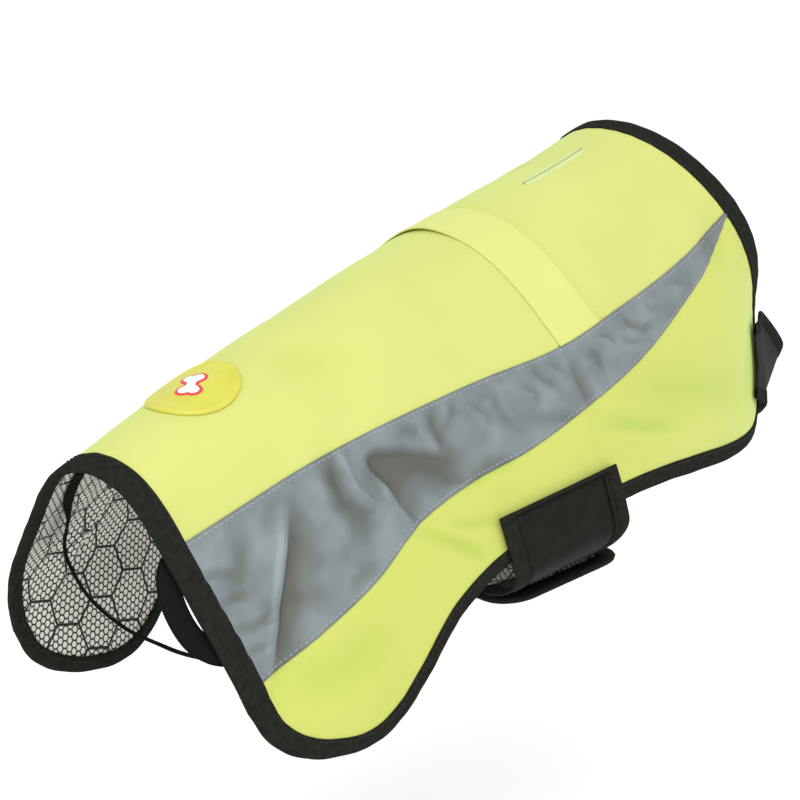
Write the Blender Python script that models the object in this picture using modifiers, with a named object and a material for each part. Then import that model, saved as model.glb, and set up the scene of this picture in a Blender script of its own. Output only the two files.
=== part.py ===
# Dog safety vest: a yellow coat with grey reflective side stripes, worn and held open.
#
# The dog faces +X and its right side is -Y.  The coat is drawn as a flat pattern: x runs along the
# back from the rear edge to the neck, and s is the distance round the body from the ridge of the
# back, positive on the right side.  Every cloth piece is a wall on that surface.  Lengths are in
# millimetres here and become metres when a mesh is made.

import math
from collections import namedtuple
from functools import lru_cache

import bmesh
import bpy
from mathutils import Vector

MM = 0.001

# ---- driving dimensions ----
BACK_LENGTH = 400.0         # rear edge to neck edge, along the back
BINDING_WIDTH = 12.0        # bound edge, as seen
BINDING_WALL = 3.6          # folded tape over all layers
BINDING_PROUD = 0.6         # how far the tape stands above the yellow cloth
SHELL_WALL = 1.4            # yellow and reflective cloth
LINING_WALL = 1.0           # mesh lining
SEAM_GAP = 0.5
LINING_INSET = 0.6          # more room round the lining, which bends on its own radius
LAY_GAP = 0.5               # under a piece that lies on a panel
BAND_REAR, BAND_MIDDLE, BAND_FRONT = 41.0, 57.0, 73.0
BAND_WALL = 1.2
SLOT_LENGTH, SLOT_WIDTH, SLOT_WALL = 51.0, 5.0, 0.9
SLOT_CENTRE = 136.0
BADGE_RADIUS, BADGE_HEIGHT, BADGE_RIM, BADGE_DISH, BADGE_ROUND = 23.5, 3.4, 2.6, 0.9, 0.7
BADGE_X, BADGE_S, BADGE_STEPS = -132.0, -3.0, 22
BELLY_WIDTH, BELLY_WALL, BELLY_TAPE, BELLY_CORNER = 82.0, 1.4, 10.0, 18.0
TAB_WIDTH, TAB_WALL, TAB_TAPE = 77.0, 2.0, 9.0
STRAP_WALL = 1.8
ELASTIC_WIDTH, CORD_WIDTH, ELASTIC_WALL = 12.0, 7.0, 1.2

EDGE = BACK_LENGTH / 2
SEAM_X = EDGE - BINDING_WIDTH

# ---- cross-sections: ridge height, lean of the section in degrees, and the downward slope of the
# cloth in degrees at 40, 90, 140, 190 and 240 mm round from the ridge ----
Station = namedtuple("Station", "x ridge lean a40 a90 a140 a190 a240")
STATIONS = (
    Station(-200, -37, 4, 52, 53, 63, 64, 66),
    Station(-130, -19, 4, 47, 53, 63, 69, 72),
    Station(-60, -6, 6, 42, 53, 63, 74, 80),
    Station(10, 4, 11, 40, 54, 65, 80, 90),
    Station(80, 14, 16, 40, 59, 69, 86, 102),
    Station(140, 21, 26, 40, 66, 80, 95, 122),
    Station(200, 31, 32, 43, 81, 110, 106, 135),
)
ROUND = (0, 40, 90, 140, 190, 240)
SLOPES = ("a40", "a90", "a140", "a190", "a240")

# ---- how many degrees steeper the left side hangs, where its loose rear flap drops and curls in ----
Hang = namedtuple("Hang", "x a40 a90 a140 a190 a240")
LEFT = (
    Hang(-200, 4, 10, 48, 35, 35),
    Hang(-130, 8, 10, 44, 30, 30),
    Hang(-60, 6, 8, 28, 20, 20),
    Hang(10, 0, 0, 0, 0, 0),
    Hang(80, 0, 0, 0, 0, 0),
)

# ---- edges of the reflective stripe: distance from the ridge at places along the back ----
StripeRow = namedtuple("StripeRow", "x upper lower")
STRIPE = (
    StripeRow(-188, 54, 121),
    StripeRow(-150, 58.5, 123),
    StripeRow(-115, 62, 121),
    StripeRow(-80, 66.5, 112.5),
    StripeRow(-45, 71.5, 112.5),
    StripeRow(-10, 76.5, 116),
    StripeRow(40, 85, 116),
    StripeRow(85, 86, 113),
    StripeRow(130, 85, 102.5),
    StripeRow(160, 82.5, 94),
    StripeRow(188, 79, 80.6),
)

# ---- seam between cloth and binding, from the rear corner along the hem to the neck ----
HemRow = namedtuple("HemRow", "x s")
HEM = (
    HemRow(-188, 128), HemRow(-184, 142), HemRow(-171, 155), HemRow(-150, 165.5),
    HemRow(-132, 166.5), HemRow(-112, 159.5), HemRow(-85, 148), HemRow(-55, 143),
    HemRow(-20, 144.5), HemRow(20, 151.5), HemRow(60, 161), HemRow(95, 174.5),
    HemRow(131, 194.5), HemRow(146, 201), HemRow(160, 200), HemRow(175, 193), HemRow(188, 182),
)

# ---- belly band: the line it follows under the body, from its free right end to the left side ----
BellyRow = namedtuple("BellyRow", "y z")
BELLY = (
    BellyRow(-102, -143.5), BellyRow(-85, -148), BellyRow(-60, -151), BellyRow(-30, -153),
    BellyRow(0, -153), BellyRow(30, -151), BellyRow(58, -145), BellyRow(78, -134),
    BellyRow(88, -118), BellyRow(90, -100), BellyRow(88, -86),
)
BELLY_X, BELLY_TURN = 27.0, math.radians(11)     # middle of its free end, and its slant
BELLY_START = 9.0           # bare length of the line before the free end
BELLY_LENGTH, BELLY_SEWN = 222.0, 146.0          # the sewn end lies this far round the left side
BELLY_SHIFT, BELLY_UNDER = 27.0, -4.2            # there, its place in the pattern, under the lining
BELLY_GAP = 1.0             # between the band and its lining, which bend together
BELLY_RISE = (75, 18)        # from here to here before its sewn end it turns up inside the left side
BELLY_ROWS = (0, 0.2, 0.4, 0.6, 0.8, 1)
BELLY_STEPS = 12

# ---- tab: its top edge in the pattern, and where its foot meets the belly band ----
TAB_X, TAB_S, TAB_TURN, TAB_LIFT = -6.0, 140.0, math.radians(10), 3.3
TAB_LAID, TAB_FREE, TAB_FOOT, TAB_FOOT_LIFT = 26.0, 34.0, 24.0, 4.2
TAB_NARROWED, TAB_SHIFT = 0.9, 37.0              # at its foot: of its width, and across the band
TAB_STEPS = 9

# ---- chest strap: pattern places of its top and bottom where it starts and at the front edge ----
STRAP_START, STRAP_EDGE = ((186, 164), (142, 190)), ((203, 180), (156, 208))
STRAP_LIFT = 4.0
STRAP_TAPE, STRAP_SPLIT, STRAP_FOLD = 0.155, 0.01, 0.4      # of its width; and the tape's extra wall
STRAP_MIDDLE = 0.39

# ---- points of the chest strap on the plane of symmetry, and of the two elastics ----
StrapRow = namedtuple("StrapRow", "x y z")
STRAP_TOP = (StrapRow(328, -29, -125), StrapRow(339, 0, -134))
STRAP_BOTTOM = (StrapRow(294, -31, -158), StrapRow(304, 0, -168))
ElasticRow = namedtuple("ElasticRow", "x s lift")
LEG_ELASTIC = (
    ElasticRow(-176, 60, -3.5), ElasticRow(-188, 57, -3.9), ElasticRow(-198, 59, -4.4),
    ElasticRow(-203, 66, -5), ElasticRow(-205, 77, -5.5), ElasticRow(-204, 89, -5.5),
    ElasticRow(-198, 99, -5), ElasticRow(-188, 105, -4.2), ElasticRow(-176, 106, -3.5),
)
REAR_START = (ElasticRow(-176, -44, -3.6), ElasticRow(-178, -58, -4), ElasticRow(-176, -72, -6))
REAR_ELASTIC = (
    StrapRow(-168, 51, -98), StrapRow(-169, 46, -108), StrapRow(-170, 33, -119),
    StrapRow(-169, 14, -127), StrapRow(-171, -10, -127), StrapRow(-176, -32, -123),
)
REAR_END = (
    ElasticRow(-190, 110, -9), ElasticRow(-184, 120, -4.6), ElasticRow(-172, 127, -3.4),
)
REAR_FACING = Vector((0.3, -0.3, 1))

YELLOW, PALE, GREY, BLACK, MESH, RUBBER, ELASTIC = (
    ("fluorescent_polyester", (0.76, 0.82, 0.24, 1), 0.75),
    ("welt_film", (0.85, 0.88, 0.45, 1), 0.5),
    ("reflective_fabric", (0.25, 0.29, 0.31, 1), 0.45),
    ("black_tape", (0.02, 0.021, 0.018, 1), 0.85),
    ("hexagon_mesh", (0.5, 0.49, 0.44, 1), 0.8),
    ("soft_rubber", (0.79, 0.76, 0.1, 1), 0.4),
    ("black_elastic", (0.015, 0.015, 0.015, 1), 0.8),
)


def smooth(knots, values, at):
    """Smooth curve through values at knots, straight beyond both ends."""
    last = len(knots) - 1
    place = max(0, min(last - 1, sum(1 for knot in knots if knot <= at) - 1))

    def slope(j):
        low, high = max(j - 1, 0), min(j + 1, last)
        return (values[high] - values[low]) / (knots[high] - knots[low])

    span = knots[place + 1] - knots[place]
    t = (at - knots[place]) / span
    if t < 0:
        return values[place] + slope(place) * t * span
    if t > 1:
        return values[place + 1] + slope(place + 1) * (t - 1) * span
    return (values[place] * (1 + 2 * t) * (1 - t) ** 2 + slope(place) * span * t * (1 - t) ** 2
            + values[place + 1] * t * t * (3 - 2 * t) + slope(place + 1) * span * t * t * (t - 1))


def column(table, name):
    return [getattr(row, name) for row in table]


def read(table, name, at, along="x"):
    return smooth(column(table, along), column(table, name), at)


def through(points, steps):
    """Points on a smooth curve through the given ones, with the same number of steps in each gap."""
    numbers = range(len(points))
    places = [n / steps for n in range((len(points) - 1) * steps + 1)]
    return [Vector([smooth(numbers, [p[k] for p in points], at) for k in range(len(points[0]))])
            for at in places]


# ---- the coat's surface ----

RING_STEP, RING_REACH = 4.0, 260.0


@lru_cache(maxsize=None)
def ring(x, left):
    """How far out and down a section has run, at each step round from the ridge."""
    slopes = [0.0] + [read(STATIONS, name, x) for name in SLOPES]
    if left and x < LEFT[-1].x:
        slopes = [0.0] + [slope + read(LEFT, name, x) for slope, name in zip(slopes[1:], SLOPES)]
    out, down = [0.0], [0.0]
    for n in range(int(RING_REACH / RING_STEP)):
        angle = math.radians(smooth(ROUND, slopes, (n + 0.5) * RING_STEP))
        out.append(out[-1] + RING_STEP * math.cos(angle))
        down.append(down[-1] + RING_STEP * math.sin(angle))
    return out, down, read(STATIONS, "ridge", x), math.radians(read(STATIONS, "lean", x))


def on_surface(x, s):
    out, down, ridge, lean = ring(x, s < 0)
    n = min(int(abs(s) / RING_STEP), len(out) - 2)
    t = abs(s) / RING_STEP - n
    side = -1 if s >= 0 else 1
    fallen = down[n] + t * (down[n + 1] - down[n])
    return Vector((x + fallen * math.sin(lean), side * (out[n] + t * (out[n + 1] - out[n])),
                   ridge - fallen * math.cos(lean)))


def on_coat(x, s, lift=0.0):
    """Point of the coat at pattern place (x, s), raised from the outer face of the yellow cloth."""
    along = on_surface(x + 2, s) - on_surface(x - 2, s)
    around = on_surface(x, s - 2) - on_surface(x, s + 2)
    return on_surface(x, s) + along.cross(around).normalized() * lift


# ---- making solids ----

def make_material(name, color, roughness):
    material = bpy.data.materials.get(name) or bpy.data.materials.new(name)
    material.use_nodes = True
    shader = material.node_tree.nodes["Principled BSDF"]
    shader.inputs["Base Color"].default_value = color
    shader.inputs["Roughness"].default_value = roughness
    return material


def add_object(name, mesh, finish):
    piece = bpy.data.objects.new(name, mesh)
    vest.objects.link(piece)
    mesh.materials.append(make_material(*finish))
    return piece


def cloth(name, rows, wall, finish, mirrored=False):
    """A cloth piece from rows of points on its outer face, with its wall built inwards."""
    grid = bmesh.new()
    bmesh.ops.create_grid(grid, x_segments=len(rows[0]) - 1, y_segments=len(rows) - 1, size=1)
    for vert, point in zip(list(grid.verts), [point for row in rows for point in row]):
        vert.co = point * MM
    mesh = bpy.data.meshes.new(name)
    grid.to_mesh(mesh)
    grid.free()
    mesh.shade_smooth()
    piece = add_object(name, mesh, finish)
    if mirrored:
        mirror = piece.modifiers.new("Mirror", "MIRROR")
        mirror.use_axis = (False, True, False)
        mirror.merge_threshold = 0.00005
    solidify = piece.modifiers.new("Solidify", "SOLIDIFY")
    solidify.thickness = wall * MM
    solidify.offset = -1
    return piece


# ---- the coat's seams: one list of pattern points for each column of the pattern ----

def outward(points, n):
    """Unit vector in the pattern, square to the hem seam and pointing off the cloth."""
    if n == 0:
        return Vector((-1, 0))
    ahead, behind = points[min(n + 1, len(points) - 1)], points[n - 1]
    step = (ahead - behind).normalized()
    return Vector((-step.y, step.x))


hem_seam = through(HEM, 2)
hem_out = [outward(hem_seam, n) for n in range(len(hem_seam))]
BACK_ROWS = (0.0, 0.2, 0.42, 0.69, 1.0)
STRIPE_ROWS = (0.0, 0.33, 0.67, 1.0)
SIDE_ROWS = (0.0, 0.33, 0.67, 1.0)


def between(start, end, parts):
    return [start.lerp(end, part) for part in parts]


def pattern_column(n, gap):
    """Pattern points of one column: back half, stripe and side, each from the ridge outwards."""
    reach = SEAM_X - gap
    x = max(-reach, min(reach, hem_seam[n].x))
    upper, lower = read(STRIPE, "upper", x), read(STRIPE, "lower", x)
    half = gap / 2
    foot = hem_seam[n] - hem_out[n] * gap
    foot.x = max(-reach, min(reach, foot.x))
    return (between(Vector((x, 0)), Vector((x, upper - half)), BACK_ROWS),
            between(Vector((x, upper + half)), Vector((x, lower - half)), STRIPE_ROWS),
            between(Vector((x, lower + half)), foot, SIDE_ROWS))


def whole_column(n, gap):
    back, stripe, side_part = pattern_column(n, gap)
    return back[:-1] + stripe[:-1] + side_part


def coat_rows(strips, side, lift):
    """Turn pattern columns into rows of points on the coat, on the right (1) or left (-1) side."""
    rows = [[on_coat(strip[k].x, side * strip[k].y, lift) for strip in strips]
            for k in range(len(strips[0]))]
    return rows[::-1] if side > 0 else rows


def right_to_left(halves, lift):
    """Rows over both sides: the right edge first, the ridge once, the left edge last."""
    return coat_rows(halves, 1, lift) + coat_rows(halves, -1, lift)[1:]


def build_coat():
    backs, stripes, sides = zip(*[pattern_column(n, SEAM_GAP) for n in range(len(hem_seam))])
    cloth("back_panel", right_to_left(backs, 0), SHELL_WALL, YELLOW)
    for name, side in (("right", 1), ("left", -1)):
        cloth("stripe_" + name, coat_rows(stripes, side, 0), SHELL_WALL, GREY)
        cloth("side_panel_" + name, coat_rows(sides, side, 0), SHELL_WALL, YELLOW)
    whole = [whole_column(n, LINING_INSET) for n in range(len(hem_seam))]
    cloth("lining", right_to_left(whole, -SHELL_WALL - SEAM_GAP), LINING_WALL, MESH)


def build_bindings():
    """Black tape folded over every edge: rear, neck, and each hem up to the neck."""
    proud = BINDING_PROUD
    last = len(hem_seam) - 1
    rear = [[Vector((x, point.y)) for x in (-EDGE, -SEAM_X)] for point in whole_column(0, SEAM_GAP)]
    neck = [[Vector((x, point.y)) for x in (SEAM_X, EDGE)] for point in whole_column(last, SEAM_GAP)]
    corner = neck[-1][0].y + BINDING_WIDTH
    neck.append([Vector((SEAM_X, corner)), Vector((EDGE, corner))])
    for name, lines in (("binding_rear", rear), ("binding_neck", neck)):
        halves = [[line[k] for line in lines] for k in (0, 1)]
        cloth(name, right_to_left(halves, proud), BINDING_WALL, BLACK)
    for name, side in (("right", 1), ("left", -1)):
        inner, outer = [], []
        for n, seam in enumerate(hem_seam):
            edge = seam + hem_out[n] * BINDING_WIDTH
            if n == 0:
                seam, edge = seam + Vector((0, SEAM_GAP)), edge + Vector((0, SEAM_GAP))
            if n == last:
                seam, edge = Vector((SEAM_X - SEAM_GAP, seam.y)), Vector((SEAM_X - SEAM_GAP, corner))
            inner.append(on_coat(seam.x, side * seam.y, proud))
            outer.append(on_coat(edge.x, side * edge.y, proud))
        rows = [outer, inner] if side > 0 else [inner, outer]
        cloth("binding_hem_" + name, rows, BINDING_WALL, BLACK)


def build_back_pieces():
    """Flap across the back between the stripes, leash slot and rubber badge on the ridge."""
    halves = []
    for x in (BAND_REAR, BAND_MIDDLE, BAND_FRONT):
        reach = read(STRIPE, "upper", x) - SEAM_GAP
        halves.append(between(Vector((x, 0)), Vector((x, reach)), BACK_ROWS))
    cloth("back_band", right_to_left(halves, LAY_GAP + BAND_WALL), BAND_WALL, YELLOW)
    ends = [SLOT_CENTRE + SLOT_LENGTH * t for t in (-0.5, -0.17, 0.17, 0.5)]
    rows = [[on_coat(x, s, LAY_GAP + SLOT_WALL) for x in ends]
            for s in (SLOT_WIDTH / 2, 0, -SLOT_WIDTH / 2)]
    cloth("leash_slot", rows, SLOT_WALL, PALE)
    build_badge()


def build_badge():
    """A turned disc with a raised rim, bent over the ridge."""
    top = LAY_GAP + BADGE_HEIGHT
    floor, inside = top - BADGE_DISH, BADGE_RADIUS - BADGE_RIM
    rings = [inside * part for part in (0, 0.33, 0.67)]
    profile = ([(radius, floor) for radius in rings]
               + [(inside, floor), (inside + BADGE_ROUND, top), (BADGE_RADIUS - BADGE_ROUND, top),
                  (BADGE_RADIUS, top - BADGE_ROUND), (BADGE_RADIUS, LAY_GAP)]
               + [(radius, LAY_GAP) for radius in rings[::-1]])
    line = bmesh.new()
    verts = [line.verts.new((radius * MM, 0, height * MM)) for radius, height in profile]
    for start, end in zip(verts, verts[1:]):
        line.edges.new((start, end))
    mesh = bpy.data.meshes.new("badge_profile")
    line.to_mesh(mesh)
    line.free()
    turned = bpy.data.objects.new("badge_profile", mesh)
    vest.objects.link(turned)
    screw = turned.modifiers.new("Screw", "SCREW")
    screw.steps = screw.render_steps = BADGE_STEPS
    screw.use_merge_vertices = True
    screw.merge_threshold = 0.0001
    shown = bpy.context.evaluated_depsgraph_get()
    bent = bpy.data.meshes.new_from_object(turned.evaluated_get(shown))
    bpy.data.objects.remove(turned)
    for vert in bent.vertices:
        vert.co = on_coat(BADGE_X + vert.co.x / MM, BADGE_S - vert.co.y / MM, vert.co.z / MM) * MM
    body = bmesh.new()
    body.from_mesh(bent)
    bmesh.ops.recalc_face_normals(body, faces=body.faces)
    body.to_mesh(bent)
    body.free()
    bent.name = "badge"
    bent.materials.clear()
    add_object("badge", bent, RUBBER)


# ---- the belly band and its tab ----

belly_line = through(BELLY, 4)


def smoothstep(low, high, at):
    t = max(0.0, min(1.0, (at - low) / (high - low)))
    return t * t * (3 - 2 * t)


def on_belly(across, along, lift=0.0):
    """Point of the belly band: across from its rear edge, along from its free right end."""
    sideways = across - BELLY_WIDTH / 2
    x = BELLY_X + sideways * math.cos(BELLY_TURN) + along * math.sin(BELLY_TURN)
    run = along * math.cos(BELLY_TURN) - sideways * math.sin(BELLY_TURN) + BELLY_START
    for start, end in zip(belly_line, belly_line[1:]):
        if run <= (end - start).length or end is belly_line[-1]:
            break
        run -= (end - start).length
    direction = (end - start).normalized()
    place = start + direction * run
    hanging = Vector((x, place.x - direction.y * lift, place.y + direction.x * lift))
    sewn = on_coat(x - BELLY_SHIFT, along - BELLY_LENGTH - BELLY_SEWN, BELLY_UNDER - lift)
    start, end = BELLY_RISE
    return hanging.lerp(sewn, smoothstep(BELLY_LENGTH - start, BELLY_LENGTH - end, along))


def belly_edge(tape):
    """Edge of the band drawn in by a tape's width: up the rear edge, round the free end, and back."""
    turns = [math.radians(22.5 * n) for n in range(5)]
    radius = BELLY_CORNER - tape
    corner = [Vector((BELLY_CORNER - radius * math.cos(t), BELLY_CORNER - radius * math.sin(t)))
              for t in turns]
    step = (BELLY_LENGTH - BELLY_CORNER) / BELLY_STEPS
    rear = [Vector((tape, BELLY_LENGTH - n * step)) for n in range(BELLY_STEPS)] + corner
    return rear, [Vector((BELLY_WIDTH - point.x, point.y)) for point in rear[::-1]]


def build_belly():
    """Black band with a mesh lining on its upper face and tape round its free edges."""
    outer, inner = [rear + front for rear, front in (belly_edge(0), belly_edge(BELLY_TAPE))]
    top = BELLY_WALL + BELLY_GAP + LINING_WALL
    rows = [[on_belly(p.x, p.y, top + BINDING_PROUD) for p in line] for line in (outer, inner)]
    cloth("belly_binding", rows, top + BINDING_PROUD, BLACK)
    rear, front = belly_edge(BELLY_TAPE + BELLY_GAP)
    for name, lift, wall, finish in (("belly_band", BELLY_WALL, BELLY_WALL, BLACK),
                                     ("belly_lining", top, LINING_WALL, MESH)):
        rows = [[on_belly(p.x, p.y, lift) for p in between(start, end, BELLY_ROWS)]
                for start, end in zip(rear[::-1], front)]
        cloth(name, rows, wall, finish)


def on_tab(across, down):
    """Point of the tab's outer face: down the right side panel, then under to the belly band."""
    laid = min(down, TAB_LAID)
    x = TAB_X + across * math.cos(TAB_TURN) - laid * math.sin(TAB_TURN)
    s = TAB_S + across * math.sin(TAB_TURN) + laid * math.cos(TAB_TURN)
    top = on_coat(x, s, TAB_LIFT)
    if down <= TAB_LAID:
        return top
    above = on_coat(x + math.sin(TAB_TURN), s - math.cos(TAB_TURN), TAB_LIFT)
    place = TAB_SHIFT + across * TAB_NARROWED
    foot, inner = on_belly(place, TAB_FOOT, TAB_FOOT_LIFT), on_belly(place, TAB_FOOT + 1, TAB_FOOT_LIFT)
    return bridge(top, (top - above).normalized() * TAB_FREE, foot,
                  (inner - foot).normalized() * TAB_FREE, (down - TAB_LAID) / TAB_FREE)


def bridge(start, leaving, end, arriving, t):
    """Point at t on the smooth curve that leaves start and arrives at end in the given ways."""
    return (start * (1 + 2 * t) * (1 - t) ** 2 + leaving * t * (1 - t) ** 2
            + end * t * t * (3 - 2 * t) + arriving * t * t * (t - 1))


def build_tab():
    """Hook-and-loop tab that ties the band to the right side, with tape round three edges."""
    half, length = TAB_WIDTH / 2, TAB_LAID + TAB_FREE
    downs = [length * n / TAB_STEPS for n in range(TAB_STEPS + 1)]
    inset = TAB_TAPE + SEAM_GAP
    acrosses = [(half - inset) * t for t in (-1, -0.5, 0, 0.5, 1)]
    rows = [[on_tab(a, d) for a in acrosses] for d in downs[:1:-1] + [inset]]
    cloth("belly_tab", rows, TAB_WALL, BLACK)
    outer = [(-half, d) for d in downs[::-1]] + [(half, d) for d in downs]
    edge = half - TAB_TAPE
    inner = [(math.copysign(edge, a), max(d, TAB_TAPE)) for a, d in outer]
    for line in (outer, inner):
        (start_a, start_d), (end_a, end_d) = line[len(downs) - 1], line[len(downs)]
        line[len(downs):len(downs)] = [(start_a + (end_a - start_a) * t, start_d)
                                       for t in (0.25, 0.5, 0.75)]
    rows = [[on_tab(a, d) for a, d in line] for line in (inner, outer)]
    cloth("tab_binding", rows, TAB_WALL, BLACK)


# ---- the chest strap ----

def chest_line(part):
    """Points along the strap, part of the way from its top edge to its bottom edge."""
    start = Vector(STRAP_START[0]).lerp(Vector(STRAP_START[1]), part)
    edge = Vector(STRAP_EDGE[0]).lerp(Vector(STRAP_EDGE[1]), part)
    line = [on_coat(p.x, p.y, STRAP_LIFT) for p in between(start, edge, (0, 0.5, 1))]
    free = [Vector(top).lerp(Vector(bottom), part) for top, bottom in zip(STRAP_TOP, STRAP_BOTTOM)]
    beyond = Vector((free[0].x, -free[0].y, free[0].z))
    return through(line + free + [beyond], 2)[:-2]


def build_chest():
    """Strap across the chest, over both front edges, with tape along its top and bottom."""
    low = STRAP_TAPE + STRAP_SPLIT
    for name, parts, wall in (("chest_strap", (1 - low, 1 - STRAP_MIDDLE, STRAP_MIDDLE, low), STRAP_WALL),
                              ("chest_binding_top", (STRAP_TAPE, 0), STRAP_WALL + STRAP_FOLD),
                              ("chest_binding_bottom", (1, 1 - STRAP_TAPE), STRAP_WALL + STRAP_FOLD)):
        cloth(name, [chest_line(part) for part in parts], wall, BLACK, mirrored=True)


def elastic(name, path, width, facings):
    """A flat elastic along a path; facings say which way its flat side looks at each point."""
    halves = []
    for n, facing in enumerate(facings):
        heading = path[min(n + 1, len(path) - 1)] - path[max(n - 1, 0)]
        halves.append(heading.cross(facing).normalized() * width / 2)
    rows = [[point + half * side for point, half in zip(path, halves)] for side in (1, -1)]
    cloth(name, rows, ELASTIC_WALL, ELASTIC)


def coat_facing(row):
    return on_coat(row.x, row.s, row.lift + 1) - on_coat(row.x, row.s, row.lift)


def build_elastics():
    """One elastic looped off the right rear edge, and one across from side to side."""
    path = through([on_coat(*row) for row in LEG_ELASTIC], 2)
    elastic("leg_elastic", path, ELASTIC_WIDTH, through([coat_facing(row) for row in LEG_ELASTIC], 2))
    path = [on_coat(*row) for row in REAR_START] + [Vector(row) for row in REAR_ELASTIC]
    facings = [coat_facing(row) for row in REAR_START] + [REAR_FACING] * len(REAR_ELASTIC)
    path += [on_coat(*row) for row in REAR_END]
    facings += [coat_facing(row) for row in REAR_END]
    elastic("rear_elastic", through(path, 2), CORD_WIDTH, through(facings, 2))


for old in list(bpy.data.objects):
    bpy.data.objects.remove(old)
vest = bpy.data.collections.new("dog_safety_vest")
bpy.context.scene.collection.children.link(vest)

build_coat()
build_bindings()
build_back_pieces()
build_belly()
build_tab()
build_chest()
build_elastics()
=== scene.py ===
# Looks of the dog safety vest: creased cloth, tape, mesh lining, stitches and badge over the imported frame.
import math

import bmesh
import bpy
import numpy as np
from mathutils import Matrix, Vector


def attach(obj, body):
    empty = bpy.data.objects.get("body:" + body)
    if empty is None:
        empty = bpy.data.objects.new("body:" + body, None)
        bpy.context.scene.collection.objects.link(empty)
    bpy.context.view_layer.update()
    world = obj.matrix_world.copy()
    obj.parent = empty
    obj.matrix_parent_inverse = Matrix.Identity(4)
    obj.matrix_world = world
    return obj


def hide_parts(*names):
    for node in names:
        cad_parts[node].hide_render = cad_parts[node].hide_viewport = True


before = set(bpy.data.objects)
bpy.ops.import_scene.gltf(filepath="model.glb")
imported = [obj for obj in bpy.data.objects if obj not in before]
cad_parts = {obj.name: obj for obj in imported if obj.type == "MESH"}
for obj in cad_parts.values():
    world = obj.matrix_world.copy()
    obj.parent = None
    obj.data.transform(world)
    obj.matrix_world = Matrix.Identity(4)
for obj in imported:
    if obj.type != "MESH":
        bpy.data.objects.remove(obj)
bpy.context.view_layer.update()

mm = 0.001

# helpers for curves and meshes


def smooth(knots, values, at):
    # smooth curve through values at knots, straight beyond both ends; values may be a table
    knots = np.asarray(knots, float)
    values = np.asarray(values, float)
    at = np.atleast_1d(np.asarray(at, float))
    last = len(knots) - 1
    place = np.clip(np.searchsorted(knots, at, side="right") - 1, 0, last - 1)
    low, high = np.maximum(np.arange(last + 1) - 1, 0), np.minimum(np.arange(last + 1) + 1, last)
    shape = (-1,) + (1,) * (values.ndim - 1)
    slopes = (values[high] - values[low]) / (knots[high] - knots[low]).reshape(shape)
    span = (knots[place + 1] - knots[place]).reshape(shape)
    t = (at - knots[place]).reshape(shape) / span
    inside = np.clip(t, 0, 1)
    out = (values[place] * (1 + 2 * inside) * (1 - inside) ** 2
           + slopes[place] * span * inside * (1 - inside) ** 2
           + values[place + 1] * inside ** 2 * (3 - 2 * inside)
           + slopes[place + 1] * span * inside ** 2 * (inside - 1))
    out = out + np.where(t > 1, slopes[place + 1] * (t - 1) * span, 0)
    return out + np.where(t < 0, slopes[place] * t * span, 0)


def through(points, count):
    # count points spread over a smooth curve through the given ones
    points = np.asarray(points, float)
    return smooth(np.arange(len(points)), points, np.linspace(0, len(points) - 1, count))


def smoothstep(low, high, at):
    t = np.clip((np.asarray(at, float) - low) / (high - low), 0, 1)
    return t * t * (3 - 2 * t)


def addObject(name, data):
    piece = bpy.data.objects.new(name, data)
    bpy.context.scene.collection.objects.link(piece)
    return piece


def gridMesh(name, points, uv, material, facing, wall=0.0, hollow=None):
    # one sheet from rows of points in millimetres, its outer side towards facing, the wall behind it
    rows, cols = points.shape[:2]
    index = np.arange(rows * cols).reshape(rows, cols)
    corners = [index[:-1, :-1], index[:-1, 1:], index[1:, 1:], index[1:, :-1]]
    normal = np.cross(points[1:, :-1] - points[:-1, :-1], points[:-1, 1:] - points[:-1, :-1])
    if (normal * np.broadcast_to(facing, points.shape)[:-1, :-1]).sum() > 0:
        corners = corners[::-1]
    faces = np.stack([c.ravel() for c in corners], 1)
    mesh = bpy.data.meshes.new(name)
    mesh.from_pydata((points.reshape(-1, 3) * mm).tolist(), [], faces.tolist())
    layer = mesh.uv_layers.new(name="pattern")
    flat = uv.reshape(-1, 2)[faces.ravel()] * mm
    layer.data.foreach_set("uv", flat.astype(np.float32).ravel())
    # painted shade: hollow, how deep each point lies in a crease, is kept on the mesh to darken its colour
    # there
    if hollow is not None:
        shadeMark = mesh.attributes.new("hollow", "FLOAT", "POINT")
        shadeMark.data.foreach_set("value", np.clip(hollow, 0, 1).astype(np.float32).ravel())
    mesh.shade_smooth()
    mesh.materials.append(material)
    piece = addObject(name, mesh)
    if wall:
        solid = piece.modifiers.new("wall", "SOLIDIFY")
        solid.thickness = wall * mm
        solid.offset = -1
    return piece


def put(piece, slot, *nodes):
    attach(piece, "root")
    if nodes:
        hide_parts(*nodes)


def cut(piece, width, length, held, on, area=None):
    # takes the flat cut of a cloth piece, in millimetres, and for a cut under 10 mm wide works out its area,
    # which it keeps nowhere
    area = width * length if area is None and width < 10 else area


def addSheet(name, node, slotName, points, uv, material, facing, wall, flat, held, on, area=None,
             hollow=None):
    # one cloth piece with the solid it stands for and its cut, which is width and length in mm
    piece = gridMesh(name, points, uv, material, facing, wall, hollow)
    put(piece, slotName, node)
    cut(piece, *flat, held, on, area)


def flatArea(uv):
    # area of a cut in its flat pattern, from the corners of its cells
    a, b = uv[1:, 1:] - uv[:-1, :-1], uv[1:, :-1] - uv[:-1, 1:]
    return float(np.abs(a[..., 0] * b[..., 1] - a[..., 1] * b[..., 0]).sum() / 2)


def runLength(line):
    # distance along a line of points, from its start
    return np.concatenate([[0], np.cumsum(np.linalg.norm(np.diff(line, axis=0), axis=1))])


def gridUv(along, across):
    # flat pattern of a strip, from distances along it and across it
    return np.stack(np.meshgrid(along, across), -1)


# materials


def toLinear(hexValue):
    parts = [int(hexValue[i:i + 2], 16) / 255 for i in (1, 3, 5)]
    return [p / 12.92 if p <= 0.04045 else ((p + 0.055) / 1.055) ** 2.4 for p in parts] + [1]


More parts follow.
